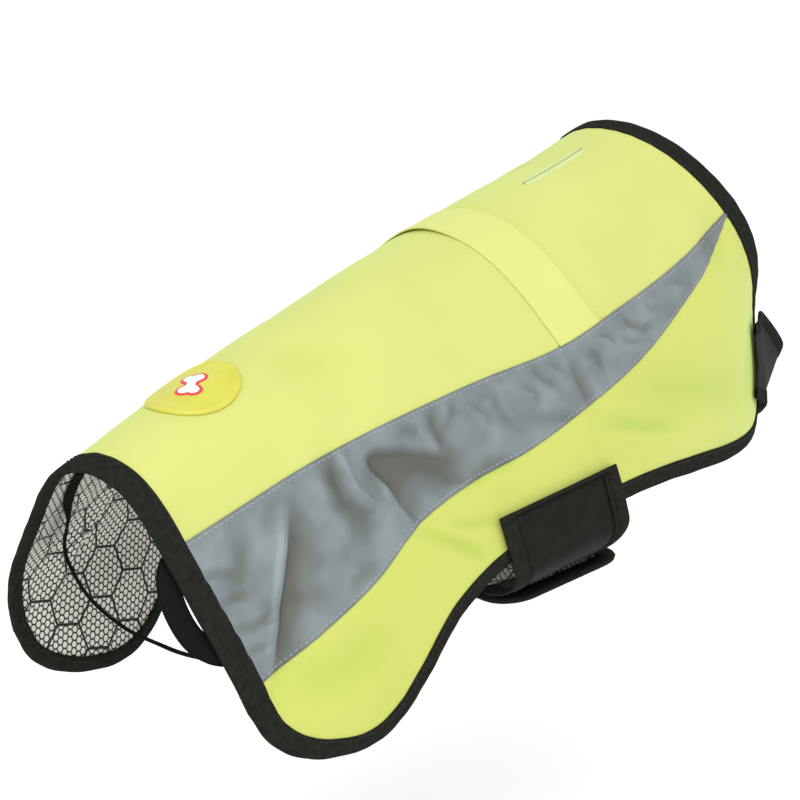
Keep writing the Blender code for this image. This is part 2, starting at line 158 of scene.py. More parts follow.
def addNode(tree, kind, inputs=None, **settings):
    # a node with its settings, and its inputs as values or as links from other sockets
    node = tree.nodes.new(kind)
    for name, value in settings.items():
        setattr(node, name, value)
    for key, value in (inputs or {}).items():
        if isinstance(value, bpy.types.NodeSocket):
            tree.links.new(value, node.inputs[key])
        else:
            node.inputs[key].default_value = value
    return node


def newMaterial(name, color, roughness, inputs=None):
    material = bpy.data.materials.new(name)
    material.use_nodes = True
    shader = material.node_tree.nodes["Principled BSDF"]
    shader.inputs["Base Color"].default_value = toLinear(color)
    shader.inputs["Roughness"].default_value = roughness
    for key, value in (inputs or {}).items():
        shader.inputs[key].default_value = value
    return material, material.node_tree, shader


def patternPlace(tree):
    # the flat pattern's own coordinates, in metres
    return addNode(tree, "ShaderNodeUVMap", uv_map="pattern").outputs[0]


def bumpFrom(tree, shader, height, distance, strength):
    bump = addNode(tree, "ShaderNodeBump", {"Height": height, "Distance": distance, "Strength": strength})
    tree.links.new(bump.outputs[0], shader.inputs["Normal"])


def threads(tree, place, pitch, axis):
    # fine ribs square to one axis of the pattern, 0 in the grooves and 1 on top
    part = addNode(tree, "ShaderNodeSeparateXYZ", {0: place})
    turned = addNode(tree, "ShaderNodeMath", {0: part.outputs[axis], 1: 2 * math.pi / pitch},
                     operation="MULTIPLY")
    wave = addNode(tree, "ShaderNodeMath", {0: turned.outputs[0]}, operation="SINE")
    return addNode(tree, "ShaderNodeMath", {0: wave.outputs[0], 1: 0.5, 2: 0.5},
                   operation="MULTIPLY_ADD").outputs[0]


def weave(tree, place, pitch):
    # threads both ways, raised where they cross
    both = {n: threads(tree, place, pitch, n) for n in (0, 1)}
    return addNode(tree, "ShaderNodeMath", both, operation="MULTIPLY").outputs[0]


def blotches(tree, place, scale, detail=3.0):
    return addNode(tree, "ShaderNodeTexNoise", {"Vector": place, "Scale": scale, "Detail": detail}).outputs[0]


def tintBy(tree, shader, factor, dark, light, low=0.3, high=0.7, creaseShadeColor=None):
    ramp = addNode(tree, "ShaderNodeMapRange", {"Value": factor, "From Min": low, "From Max": high})
    mix = addNode(tree, "ShaderNodeMix", {0: ramp.outputs[0], 6: toLinear(dark), 7: toLinear(light)},
                  data_type="RGBA")
    # painted shade: creaseShadeColor is mixed in by how deep the point lies in a crease
    if creaseShadeColor:
        shadeMark = addNode(tree, "ShaderNodeAttribute", attribute_name="hollow")
        mix = addNode(tree, "ShaderNodeMix", {0: shadeMark.outputs["Fac"], 6: mix.outputs[2],
                                              7: toLinear(creaseShadeColor)}, data_type="RGBA")
    tree.links.new(mix.outputs[2], shader.inputs["Base Color"])


def fluorescentPolyester(name, dark, light, creaseShadeColor="#A3B144"):
    # plain-woven polyester in fluorescent dye; the dye really fluoresces, and a faint fixed emission paints
    # that in as glow, so its shaded side stays bright lime
    material, tree, shader = newMaterial(name, light, 0.62, {
        "Sheen Weight": 0.12, "Sheen Roughness": 0.5, "Emission Color": toLinear("#D2E83C"),
        "Emission Strength": 0.035})
    place = patternPlace(tree)
    # painted shade: creaseShadeColor darkens the cloth in its creases
    tintBy(tree, shader, blotches(tree, place, 14.0), dark, light, creaseShadeColor=creaseShadeColor)
    # painted shade: where the cloth is seen edge-on a greener tint is mixed into its colour, standing in for
    # the shading at its silhouettes
    slant = addNode(tree, "ShaderNodeLayerWeight", {"Blend": 0.5})
    grazingShadeAmount = addNode(tree, "ShaderNodeMapRange", {"Value": slant.outputs["Facing"], "From Min": 0.55,
                                                   "To Max": 0.55})
    flat = shader.inputs["Base Color"].links[0].from_socket
    grazingShade = addNode(tree, "ShaderNodeMix", {0: grazingShadeAmount.outputs[0], 6: flat, 7: toLinear("#B2CB4C")},
                      data_type="RGBA")
    tree.links.new(grazingShade.outputs[2], shader.inputs["Base Color"])
    bumpFrom(tree, shader, weave(tree, place, 0.0007), 0.00006, 0.35)
    return material


def retroreflectiveFabric():
    # glass beads on an aluminised film: grey, half metallic, so each crease turns from pale to dark, helped
    # by painted shade mixed into its hollows
    material, tree, shader = newMaterial("retroreflective_fabric", "#7C868A", 0.5, {"Metallic": 0.25})
    place = patternPlace(tree)
    tintBy(tree, shader, blotches(tree, place, 55.0, 2.0), "#687274", "#7C8689", 0.34, 0.68,
           creaseShadeColor="#53564F")
    beads = addNode(tree, "ShaderNodeTexVoronoi", {"Vector": place, "Scale": 2600.0})
    bumpFrom(tree, shader, beads.outputs["Distance"], 0.00004, 0.3)
    return material


def ribbedTape():
    # woven polyester edge tape, matt black with fine ribs across its width
    material, tree, shader = newMaterial("ribbed_tape", "#20211D", 0.9, {"Specular IOR Level": 0.02})
    place = patternPlace(tree)
    tintBy(tree, shader, blotches(tree, place, 300.0), "#1D1E1A", "#272824")
    bumpFrom(tree, shader, threads(tree, place, 0.0011, 0), 0.0001, 0.35)
    return material


def blackNylon():
    # smooth dyed nylon of the tab, belly band and chest strap: matt with a faint grain
    material, tree, shader = newMaterial("black_nylon", "#1C1D19", 0.7, {"Specular IOR Level": 0.05})
    place = patternPlace(tree)
    tintBy(tree, shader, blotches(tree, place, 120.0), "#191A16", "#20211D")
    bumpFrom(tree, shader, weave(tree, place, 0.0009), 0.0001, 0.4)
    return material


def wovenElastic():
    # rubber-cored braid: black, with ribs along its length
    material, tree, shader = newMaterial("woven_elastic", "#191A17", 0.9, {"Specular IOR Level": 0.02})
    bumpFrom(tree, shader, threads(tree, patternPlace(tree), 0.0015, 1), 0.0001, 0.25)
    return material


def hexEdge(tree, place, pitch):
    # how near a point is to the edge of its hexagon: 0 at the centre, 0.5 on the edge
    cell = (1.0, math.sqrt(3), 1.0)
    scaled = addNode(tree, "ShaderNodeVectorMath", {0: place, "Scale": 1 / pitch}, operation="SCALE")
    parts = []
    for shift in ((100.0, 100 * math.sqrt(3), 0.0), (100.5, 100.5 * math.sqrt(3), 0.0)):
        moved = addNode(tree, "ShaderNodeVectorMath", {0: scaled.outputs[0], 1: shift}, operation="ADD")
        wrapped = addNode(tree, "ShaderNodeVectorMath", {0: moved.outputs[0], 1: cell}, operation="MODULO")
        centred = addNode(tree, "ShaderNodeVectorMath",
                          {0: wrapped.outputs[0], 1: (0.5, math.sqrt(3) / 2, 0.0)}, operation="SUBTRACT")
        flatOnly = addNode(tree, "ShaderNodeVectorMath", {0: centred.outputs[0], 1: (1.0, 1.0, 0.0)},
                           operation="MULTIPLY")
        size = addNode(tree, "ShaderNodeVectorMath", {0: flatOnly.outputs[0]}, operation="LENGTH")
        parts.append((flatOnly.outputs[0], size.outputs["Value"]))
    nearer = addNode(tree, "ShaderNodeMath", {0: parts[0][1], 1: parts[1][1]}, operation="LESS_THAN")
    chosen = addNode(tree, "ShaderNodeMix", {0: nearer.outputs[0], 4: parts[1][0], 5: parts[0][0]},
                     data_type="VECTOR")
    away = addNode(tree, "ShaderNodeVectorMath", {0: chosen.outputs[1]}, operation="ABSOLUTE")
    slanted = addNode(tree, "ShaderNodeVectorMath", {0: away.outputs[0], 1: (0.5, math.sqrt(3) / 2, 0.0)},
                      operation="DOT_PRODUCT")
    across = addNode(tree, "ShaderNodeSeparateXYZ", {0: away.outputs[0]})
    return addNode(tree, "ShaderNodeMath", {0: slanted.outputs["Value"], 1: across.outputs[0]},
                   operation="MAXIMUM").outputs[0]


meshLook = {"dotPitch": 3.2, "netThread": 0.72, "hexagon": 22.0, "hexagonThread": 1.2,       # millimetres
            "threadBlur": 0.102}


def hexagonMesh():
    # warp-knit net over a pale backing: small pale dots in black thread, with larger black hexagons
    material, tree, shader = newMaterial("hexagon_mesh", "#B9B7AD", 0.8)
    place = patternPlace(tree)
    small = hexEdge(tree, place, meshLook["dotPitch"] * mm)
    large = hexEdge(tree, place, meshLook["hexagon"] * mm)
    nets = []
    for edge, pitch, thread in ((small, meshLook["dotPitch"], meshLook["netThread"]),
                                (large, meshLook["hexagon"], meshLook["hexagonThread"])):
        inner, blur = 0.5 - thread / pitch / 2, meshLook["threadBlur"] / pitch
        nets.append(addNode(tree, "ShaderNodeMapRange", {"Value": edge, "From Min": inner - blur,
                                                         "From Max": inner + blur}).outputs[0])
    net = addNode(tree, "ShaderNodeMath", {0: nets[0], 1: nets[1]}, operation="MAXIMUM").outputs[0]
    mix = addNode(tree, "ShaderNodeMix", {0: net, 6: toLinear("#DAD8CE"), 7: toLinear("#161614")},
                  data_type="RGBA")
    tree.links.new(mix.outputs[2], shader.inputs["Base Color"])
    bumpFrom(tree, shader, net, 0.0004, 0.7)
    return material


def softRubber():
    # moulded soft PVC: warm yellow, slightly translucent, with a satin skin
    material, tree, shader = newMaterial("soft_rubber", "#C3C043", 0.42, {
        "Subsurface Weight": 0.15, "Subsurface Scale": 0.002})
    place = addNode(tree, "ShaderNodeTexCoord").outputs["Object"]
    tintBy(tree, shader, blotches(tree, place, 60.0), "#BEBB3C", "#C7C54A")
    bumpFrom(tree, shader, blotches(tree, place, 900.0), 0.00005, 0.3)
    return material


def weltFilm():
    # heat-bonded film over the slot: pale green-white, glossier than the cloth, with painted shade darkening
    # it in the slit
    material, tree, shader = newMaterial("welt_film", "#BCC98C", 0.5)
    across = addNode(tree, "ShaderNodeSeparateXYZ", {0: patternPlace(tree)})
    out = addNode(tree, "ShaderNodeMath", {0: across.outputs[1]}, operation="ABSOLUTE")
    tintBy(tree, shader, out.outputs[0], "#93A26C", "#BFCB8E", 0.0003, 0.001)
    return material


def grained(name, color, roughness, scale, height, strength):
    # one colour with a fine grain, for small parts
    material, tree, shader = newMaterial(name, color, roughness)
    grain = blotches(tree, addNode(tree, "ShaderNodeTexCoord").outputs["Object"], scale)
    bumpFrom(tree, shader, grain, height, strength)
    return material


def sewingThread(name, color):
    # spun polyester thread: matt, its twist shows as a grain
    return grained(name, color, 0.6, 2500.0, 0.00005, 0.5)


def printInk(name, color):
    # raised rubber print on the badge: satin, almost smooth
    return grained(name, color, 0.45, 1500.0, 0.00003, 0.3)


yellow = fluorescentPolyester("fluorescent_polyester", "#BABE65", "#BFC46A")
bandYellow = fluorescentPolyester("fluorescent_polyester_double", "#C2C46C", "#C7C971")
# painted shade: the side panels are the same cloth as the back, in a darker, more saturated copy for the
# shade on the body's sides, with their own painted crease shade
shadedSideYellow = fluorescentPolyester("fluorescent_polyester_side", "#B3BA54", "#B9BF5A", "#94B03A")
grey, tape, nylon, elasticCloth, netCloth = (retroreflectiveFabric(), ribbedTape(), blackNylon(),
                                             wovenElastic(), hexagonMesh())
rubber, film = softRubber(), weltFilm()
paleThread, blackThread = sewingThread("pale_thread", "#A9AFAF"), sewingThread("black_thread", "#161613")
yellowThread = sewingThread("yellow_thread", "#D3D968")
whiteInk, redInk = printInk("white_rubber", "#E6E6E2"), printInk("red_rubber", "#CF3038")
print("materials made")

# the coat's surface: x runs along the back, s round the body from the ridge, both in mm

coat = {
    "x": (-200, -130, -60, 10, 80, 140, 200),
    "ridge": (-37, -19, -6, 4, 14, 21, 31),           # height of the back
    "lean": (4, 4, 6, 11, 16, 26, 32),                # degrees towards the neck
    "round": (0, 40, 90, 140, 190, 240),
    "slopes": ((0, 0, 0, 0, 0, 0, 0),                 # degrees downward at those distances
               (52, 47, 42, 40, 40, 40, 43),
               (53, 53, 53, 54, 59, 66, 81),
               (63, 63, 63, 65, 69, 80, 110),
               (64, 69, 74, 80, 86, 95, 106),
               (66, 72, 80, 90, 102, 122, 135)),
    "leftX": (-200, -130, -60, 10, 80),
    "leftSlopes": ((0, 0, 0, 0, 0),                   # how much steeper the left side hangs
                   (4, 8, 6, 0, 0),
                   (10, 10, 8, 0, 0),
                   (48, 44, 28, 0, 0),
                   (35, 30, 20, 0, 0),
                   (35, 30, 20, 0, 0)),
    "step": 2.0, "reachX": 236.0, "reachS": 262.0,
}
stripeLine = {
    "x": (-188, -150, -115, -80, -45, -10, 40, 85, 130, 160, 188),
    "upper": (54, 58.5, 62, 66.5, 71.5, 76.5, 85, 86, 85, 82.5, 79),
    "lower": (121, 123, 121, 112.5, 112.5, 116, 116, 113, 102.5, 94, 80.6),
}
hemLine = {                                           # seam of the tape, and how far the tape rolls under
    "x": (-188, -184, -171, -150, -132, -112, -85, -55, -20, 20, 60, 95, 131, 146, 160, 175, 188),
    "s": (128, 142, 155, 165.5, 166.5, 159.5, 148, 143, 144.5, 151.5, 161, 174.5, 194.5, 201, 200, 193,
          182),
    "roll": (0, 2, 4, 5.5, 5.5, 5.5, 5.5, 5.5, 5, 4, 3.5, 3, 3, 2.5, 2, 1, 0),
}
seamX, tapeWidth = 188.0, 12.0


def buildSurface():
    steps = int(coat["reachS"] / coat["step"])
    x = np.arange(-coat["reachX"], coat["reachX"] + 1, coat["step"])
    middles = (np.arange(steps) + 0.5) * coat["step"]
    halves = []
    for left in (True, False):
        slopes = smooth(coat["x"], np.array(coat["slopes"], float).T, x).T
        if left:
            more = smooth(coat["leftX"], np.array(coat["leftSlopes"], float).T, np.clip(x, -215, 80)).T
            slopes = slopes + more * (x < 80)
        angle = np.radians(smooth(coat["round"], slopes, middles))
        out = np.vstack([np.zeros(len(x)), np.cumsum(np.cos(angle), 0) * coat["step"]])
        down = np.vstack([np.zeros(len(x)), np.cumsum(np.sin(angle), 0) * coat["step"]])
        lean = np.radians(smooth(coat["x"], coat["lean"], x))
        ridge = smooth(coat["x"], coat["ridge"], x)
        side = 1 if left else -1
        halves.append(np.stack([x + down * np.sin(lean), side * out, ridge - down * np.cos(lean)], -1))
    whole = np.concatenate([halves[0][::-1], halves[1][1:]], 0).transpose(1, 0, 2)
    alongX, alongS = np.gradient(whole, axis=0), np.gradient(whole, axis=1)
    normal = np.cross(alongS, alongX)
    return whole, normal / np.linalg.norm(normal, axis=-1, keepdims=True)


surfacePoints, surfaceNormals = buildSurface()


def readGrid(table, x, s):
    i = np.clip((x + coat["reachX"]) / coat["step"], 0, table.shape[0] - 1.001)
    j = np.clip((s + coat["reachS"]) / coat["step"], 0, table.shape[1] - 1.001)
    i0, j0 = i.astype(int), j.astype(int)
    u, v = (i - i0)[..., None], (j - j0)[..., None]
    return ((table[i0, j0] * (1 - u) + table[i0 + 1, j0] * u) * (1 - v)
            + (table[i0, j0 + 1] * (1 - u) + table[i0 + 1, j0 + 1] * u) * v)


# creases: points of a line in the pattern, its width and depth in mm, how far its sides rise as a share of
# the depth, and where it isn't even: skew makes one side wider, oneSided lifts one side more, and head is
# the share of the depth at its first point

creases = {
    "rearFold": (((-130, 68), (-145, 87), (-157, 99), (-169, 112), (-186, 129)),
                 5.6, 3.6, 1, {"skew": 0.55, "oneSided": 0.5}),
    "upperTrough": (((-103, 60), (-107, 72), (-109, 84), (-104, 95), (-96, 99)),
                    5, 2.8, 0.9, {"skew": -0.4, "oneSided": -0.3}),
    "deepDent": (((-84, 79), (-71, 84), (-58, 94), (-43, 105)),
                 7.5, 3.8, 0.45, {"skew": -0.55, "head": 0.9}),
    "dentLeg": (((-86, 80), (-84, 90), (-85, 100), (-83, 108), (-80, 116)),
                5.5, 2.6, 0.8, {"skew": 0.6, "head": 0.6}),
    "middlePleat": (((-43, 70), (-48, 82), (-49, 92), (-44, 102)), 3.6, 2, 0.6),
    "middlePleatShort": (((-30, 76), (-37, 82), (-46, 88)), 2.6, 1.1, 0.5),
    "lowerTrough": (((-50, 112), (-32, 112), (-16, 118)), 4, 1.4, 0.5),
    "frontPinch": (((18, 84), (21, 92), (27, 101)), 2.8, 1.2, 0.5),
    "frontTrough": (((45, 90), (41, 100), (40, 110), (37, 119)), 4.4, 1.7, 0.6),
    "frontRipple": (((86, 88), (89, 96), (95, 102), (106, 103)), 2.8, 1.4, 0.6),
    "lowerPinch": (((2, 104), (14, 110), (28, 118)), 3, 1, 0.4),
    "rearRipple": (((-160, 66), (-172, 80), (-184, 92)), 5, 1.1, 0.5),
    "rearSag": (((-122, 64), (-121, 76), (-116, 86)), 4, 0.9, 0.5),
    "crossRipple": (((-176, 96), (-156, 106), (-136, 112)), 4.5, 0.8, 0.4),
    "tapePullA": (((-190, 70), (-182, 73), (-172, 80)), 1.9, 1.3, 0.6, {"head": 0.45}),
    "tapePullB": (((-190, 84), (-180, 86), (-171, 91)), 1.7, 1, 0.6, {"head": 0.45}),
    "tapePullC": (((-190, 96), (-178, 101), (-166, 103)), 1.9, 1.3, 0.6, {"head": 0.45}),
    "tapePullD": (((-190, 107), (-182, 109), (-176, 113)), 1.7, 1, 0.6, {"head": 0.45}),
    "farCrumple": (((152, -22), (126, -34), (100, -48)), 5, 1.3, 0.7),
    "farCrumpleLow": (((128, -48), (112, -58), (92, -62)), 4, 1, 0.7),
    "farDip": (((28, -34), (8, -42), (-18, -46)), 7, 1.2, 0.6),
    "smallA": (((-24, 82), (-20, 90), (-22, 97)), 2.6, 1, 0.7, {"skew": 0.4}),
    "smallB": (((-8, 84), (-12, 93), (-9, 104)), 3.2, 1.2, 0.7, {"skew": -0.4}),
    "smallC": (((6, 88), (12, 95), (9, 103)), 2.4, 0.9, 0.7, {"skew": 0.4}),
    "smallD": (((30, 88), (34, 95), (33, 101)), 2.2, 0.8, 0.8, {"skew": 0.4}),
    "smallE": (((56, 92), (60, 99), (57, 108)), 3, 1.1, 0.7, {"skew": -0.5}),
    "smallF": (((66, 90), (72, 94), (74, 101)), 2.4, 1, 0.8, {"skew": 0.5}),
    "smallG": (((78, 99), (84, 104), (94, 107)), 2.2, 0.9, 0.8, {"skew": 0.3}),
    "smallH": (((104, 90), (106, 95), (112, 98)), 2.2, 0.8, 0.8, {"skew": -0.4}),
    "smallI": (((120, 88), (127, 91), (134, 96)), 2, 0.6, 0.7, {"skew": 0.3}),
    "smallJ": (((-66, 72), (-60, 77), (-55, 79)), 3, 0.9, 0.7, {"skew": -0.3}),
    "smallK": (((-60, 104), (-52, 108), (-47, 111)), 2.6, 0.8, 0.7, {"skew": 0.4}),
    "smallL": (((-118, 92), (-112, 101), (-104, 108)), 5, 1, 0.5),
    "smallM": (((-142, 62), (-146, 68), (-153, 72)), 3.6, 0.8, 0.6),
    "smallN": (((-108, 112), (-118, 116), (-132, 117)), 3.4, 0.9, 0.6),
    "sideDrag": (((32, 124), (58, 136), (96, 160)), 5, 1, 0.6),
    "frontDrag": (((44, 130), (63, 143), (88, 157)), 3, 1, 0.8),
    "sideDragLow": (((70, 128), (100, 142), (140, 172)), 11, 1.2, 0.4),
    "waistPull": (((-84, 117), (-72, 128), (-62, 139), (-54, 147)), 3, 1.7, 0.8, {"head": 0.5}),
    "waistPullHigh": (((-72, 118), (-58, 128), (-40, 137)), 2.6, 1.2, 0.8),
    "flapWave": (((-176, 132), (-150, 142), (-120, 144)), 9, 1.3, 0.5),
    "neckPull": (((186, 66), (168, 84), (158, 108)), 8, 0.9, 0.5),
    "neckPullLow": (((186, 150), (160, 160), (130, 184)), 8, 1.2, 0.5),
    "backDip": (((-66, -30), (-42, -22), (-10, -26)), 10, 1, 0.4),
    "backDipRear": (((-100, 8), (-86, 22), (-70, 30)), 12, 0.8, 0.4),
    "bandCrinkle": (((78, -34), (88, -27), (89, -14)), 2.6, 0.9, 0.6),
    "shoulderDip": (((168, -36), (150, -28), (120, -32)), 9, 1, 0.4),
}
evenCrease = {"skew": 0.0, "oneSided": 0.25, "head": 0.15}     # what holds where a crease says nothing
leftSide = {"shift": 11.0, "part": 0.85, "only": 60.0}     # repeats the creases past 60 mm, shallower


def creaseHeight(x, s, line, width, depth, rise, uneven=evenCrease):
    skew, oneSided, head = [uneven.get(key, usual) for key, usual in evenCrease.items()]
    line = np.asarray(line, float)
    best = np.full(x.shape, 1e9)
    along = np.zeros(x.shape)
    signed = np.zeros(x.shape)
    for n in range(len(line) - 1):
        way = line[n + 1] - line[n]
        size = float(way @ way)
        t = np.clip(((x - line[n, 0]) * way[0] + (s - line[n, 1]) * way[1]) / size, 0, 1)
        dx, ds = x - line[n, 0] - t * way[0], s - line[n, 1] - t * way[1]
        far = np.hypot(dx, ds)
        nearer = far < best
        best = np.where(nearer, far, best)
        along = np.where(nearer, (n + t) / (len(line) - 1), along)
        sideways = (way[0] * ds - way[1] * dx) / math.sqrt(size)
        signed = np.where(nearer, sideways / (far + 0.05), signed)      # -1 on one side, 1 on the other
    fade = (head + (1 - head) * smoothstep(0, 0.3, along)) * (0.15 + 0.85 * smoothstep(0, 0.3, 1 - along))
    q = best / (width * (1 - skew * signed))
    valley = np.exp(-q ** 1.6)
    bulge = np.exp(-((q - 1.9) / 0.8) ** 2) * (1 - oneSided + oneSided * signed)
    return depth * fade * (rise * 0.55 * bulge - valley)


def creaseAt(x, s):
    height = np.zeros(x.shape)
    for line, width, depth, rise, *uneven in creases.values():
        height += creaseHeight(x, s, line, width, depth, rise, *uneven)
        if min(point[1] for point in line) > leftSide["only"]:
            other = [(px + leftSide["shift"], -ps) for px, ps in line]
            height += creaseHeight(x, s, other, width, depth * leftSide["part"], rise, *uneven)
    return height


seamPucker = {"wave": 9.0, "height": 0.16, "reach": 5.0}      # small gathers beside each sewn seam


def puckerAt(x, s):
    out = np.zeros(x.shape)
    a = np.abs(s)
    wobble = np.sin(x * 2 * math.pi / seamPucker["wave"] + 1.7 * np.sin(x * 0.11) + 0.4 * np.sign(s))
    for edge in ("upper", "lower"):
        far = a - smooth(stripeLine["x"], stripeLine[edge], x.ravel()).reshape(x.shape)
        out += wobble * np.exp(-(far / seamPucker["reach"]) ** 2)
    turn = np.sin(s * 2 * math.pi / 11.0 + 1.3 * np.sin(s * 0.07))
    out += 0.5 * turn * (np.exp(-((x + seamX) / 6) ** 2) + np.exp(-((x - seamX) / 6) ** 2))
    return out * seamPucker["height"]


def onCoat(x, s, lift=0.0):
    # points on the coat, raised from the yellow cloth's outer face, with all creases
    x, s = np.broadcast_arrays(np.asarray(x, float), np.asarray(s, float))
    height = creaseAt(x, s) + puckerAt(x, s) + lift
    return readGrid(surfacePoints, x, s) + readGrid(surfaceNormals, x, s) * height[..., None]


def creaseShadeAt(x, s, fullShadeDepth):
    # how deep in a crease a place lies, 0 on the flat and 1 in the deepest: the amount of painted shade there
    return np.clip(-creaseAt(x, s) / fullShadeDepth, 0, 1) ** 0.8


def coatNormal(x, s):
    x, s = np.broadcast_arrays(np.asarray(x, float), np.asarray(s, float))
    return readGrid(surfaceNormals, x, s)


def upperAt(x):
    return smooth(stripeLine["x"], stripeLine["upper"], x)


def lowerAt(x):
    return smooth(stripeLine["x"], stripeLine["lower"], x)


def hemPoints(count):
    # points on the hem seam, the way off the cloth, and how far the tape rolls under there
    places = through(np.stack([hemLine["x"], hemLine["s"]], 1), count)
    roll = through(np.array(hemLine["roll"])[:, None], count)[:, 0]
    step = np.gradient(places, axis=0)
    step /= np.linalg.norm(step, axis=1, keepdims=True)
    out = np.stack([-step[:, 1], step[:, 0]], 1)
    turn = smoothstep(0, 0.06, np.linspace(0, 1, count))[:, None]
    out = out * turn + np.array([-1.0, 0.0]) * (1 - turn)
    return places, out / np.linalg.norm(out, axis=1, keepdims=True), roll


# panels

tapeLook = {"wall": 0.8, "wobble": 0.2, "inside": 4.5, "leftTrim": 1.0, "flapTrim": 1.5, "outline": (
    # distance out from the seam and height over the cloth, from the inner lip round to the outer lip
    (3.7, -2.3), (4.7, -3.0), (6.5, -3.2), (9, -3.15), (10.9, -2.8), (11.9, -1.7), (12.0, -0.6),
    (11.4, 0.35), (10.0, 0.85), (7, 1.05), (3.5, 0.95), (1.0, 0.85), (0.1, 0.55), (-0.1, -0.1))}

panels = {"cloth": 0.7, "columns": 190, "stripeRows": 44, "backRows": 96, "sideRows": 40,
          "tuck": 1.8, "tuckDrop": -0.55, "stripeRise": 0.35}
lining = {"under": -1.7, "cloth": 0.5, "upperRows": 44, "lowerRows": 26}
# painted shade: the crease depth at which each cloth gets its full painted crease colour
creaseShadeDepth = {"back": 5.0, "stripe": 2.6, "side": 4.5, "band": 5.0}      # depth in mm that shades fully


def layOnCoat(name, node, slotName, x, s, lift, material, wall, fullShadeDepth, flat, on):
    # a cloth piece on the coat with its outer side up; flat is its cut in mm, and fullShadeDepth the crease
    # depth that gets the full painted shade
    uv = np.stack([x, s], -1)
    addSheet(name, node, slotName, onCoat(x, s, lift), uv, material, coatNormal(x, s), wall, flat, "laid", on,
             flatArea(uv), creaseShadeAt(x, s, fullShadeDepth))


def buildBackPanel():
    x = np.linspace(-seamX - 1.5, seamX + 1.5, panels["columns"])
    across = np.linspace(1, -1, panels["backRows"])
    reach = upperAt(np.clip(x, -seamX, seamX)) + panels["tuck"]
    s = across[:, None] * reach[None, :]
    x = np.broadcast_to(x, s.shape)
    lift = panels["tuckDrop"] * smoothstep(-2.2, 0.2, np.abs(s) - (reach[None, :] - panels["tuck"]))
    layOnCoat("back_panel_cloth", "back_panel", "fluorescent_polyester", x, s, lift, yellow, panels["cloth"],
              creaseShadeDepth["back"], (176, 379), ["lining"])


def buildStripes():
    x = np.linspace(-seamX - 1, seamX, int(panels["columns"] * 1.4))
    rows = np.linspace(0, 1, panels["stripeRows"])[:, None]
    upper, lower = upperAt(x) - 0.4, np.maximum(lowerAt(x) + 0.4, upperAt(x) + 1.2)
    for name, side in (("right", 1), ("left", -1)):
        a = upper + (lower - upper) * rows
        fromEdge = np.minimum(a - upper, lower - a)
        lift = panels["stripeRise"] * smoothstep(-0.2, 0.8, fromEdge)
        layOnCoat("stripe_cloth_" + name, "stripe_" + name, "reflective_fabric", np.broadcast_to(x, a.shape),
                  side * a, lift, grey, panels["cloth"], creaseShadeDepth["stripe"], (72, 378), ["lining"])


def buildSidePanels():
    places, out, roll = hemPoints(panels["columns"] * 2)
    x = np.clip(places[:, 0], -seamX, seamX)
    top = np.stack([x, lowerAt(x) - panels["tuck"]], 1)
    foot = places + out * (roll + 1.0)[:, None]
    foot[:, 0] = np.clip(foot[:, 0], -seamX - 1.5, seamX + 1.5)
    rows = np.linspace(0, 1, panels["sideRows"])[:, None, None]
    place = top * (1 - rows) + foot * rows
    lift = panels["tuckDrop"] * smoothstep(-2.2, 0.2, (lowerAt(x) + 0.4) - place[..., 1])
    for name, side in (("right", 1), ("left", -1)):
        layOnCoat("side_panel_cloth_" + name, "side_panel_" + name, "fluorescent_polyester", place[..., 0],
                  side * place[..., 1], lift, shadedSideYellow, panels["cloth"], creaseShadeDepth["side"], (110, 378),
                  ["lining"])


def buildLining():
    places, out = hemPoints(panels["columns"])[:2]
    x = np.clip(places[:, 0], -seamX, seamX)
    foot = places + out * tapeLook["inside"]
    foot[:, 0] = np.clip(foot[:, 0], -seamX - tapeLook["inside"], seamX + tapeLook["inside"])
    reach = 1 + tapeLook["inside"] / seamX
    ridge, low = np.stack([x * reach, x * 0], 1), np.stack([x * reach, lowerAt(x)], 1)
    first = [ridge * (1 - t) + low * t for t in np.linspace(0, 1, lining["upperRows"])]
    rest = [low * (1 - t) + foot * t for t in np.linspace(0, 1, lining["lowerRows"])[1:]]
    half = np.stack(first + rest)
    mirror = half[::-1] * np.array([1, -1])
    place = np.concatenate([mirror, half[1:]])
    x, s = place[..., 0], place[..., 1]
    addSheet("lining_mesh", "lining", "hexagon_mesh", onCoat(x, s, lining["under"]), place, netCloth,
             -coatNormal(x, s), lining["cloth"], (400, 378), "draped", ["wearer_back"], flatArea(place))


buildBackPanel()
buildStripes()
buildSidePanels()
buildLining()
print("panels and lining made")

# edge tape


def tapeRows(places, out, roll, side, seed, trim):
    # the tape's cross-section carried along a seam; the rolled part shows less of it outside
    turn = np.linspace(0, 1, len(places)) * len(places)
    ends = smoothstep(0, 12, turn) * smoothstep(0, 12, len(places) - turn)
    rows, uvs = [], []
    steps = runLength(places)
    girth = 0.0
    last = None
    for a, h in tapeLook["outline"]:
        outer = h > -1.0
        whole = tapeWidth - trim
        far = roll + a * (whole - roll) / tapeWidth if outer else a * whole / tapeWidth
        height = h - (0.05 * roll * (a / tapeWidth) ** 2 * (1 if outer else 2))
        wobble = tapeLook["wobble"] * np.sin(turn * 0.31 + seed) * np.sin(turn * 0.113 + 2 * seed) * ends
        far = far + wobble * (0.4 + 0.6 * a / tapeWidth)
        height = height + 0.08 * np.sin(turn * 0.9 + seed) * (1 if outer else 0) * ends
        place = places + out * far[:, None]
        rows.append(onCoat(place[:, 0], side * place[:, 1], height))
        if last is not None:
            girth += math.hypot(a - last[0], h - last[1])
        last = (a, h)
        uvs.append(np.stack([steps, np.full(len(steps), girth)], 1))
    return np.stack(rows), np.stack(uvs)


def addTape(name, node, places, out, roll, side, seed, trim):
    rows, uvs = tapeRows(places, out, roll, side, seed, trim)
    ups = coatNormal(places[:, 0], side * places[:, 1])
    turned = np.where(np.array(tapeLook["outline"])[:, 1] > -1, 1.0, -1.0)
    addSheet(name, node, "black_tape", rows, uvs, tape, ups[None] * turned[:, None, None], tapeLook["wall"],
             (float(uvs[-1, 0, 1]), float(uvs[0, -1, 0])), "folded", ["lining"])


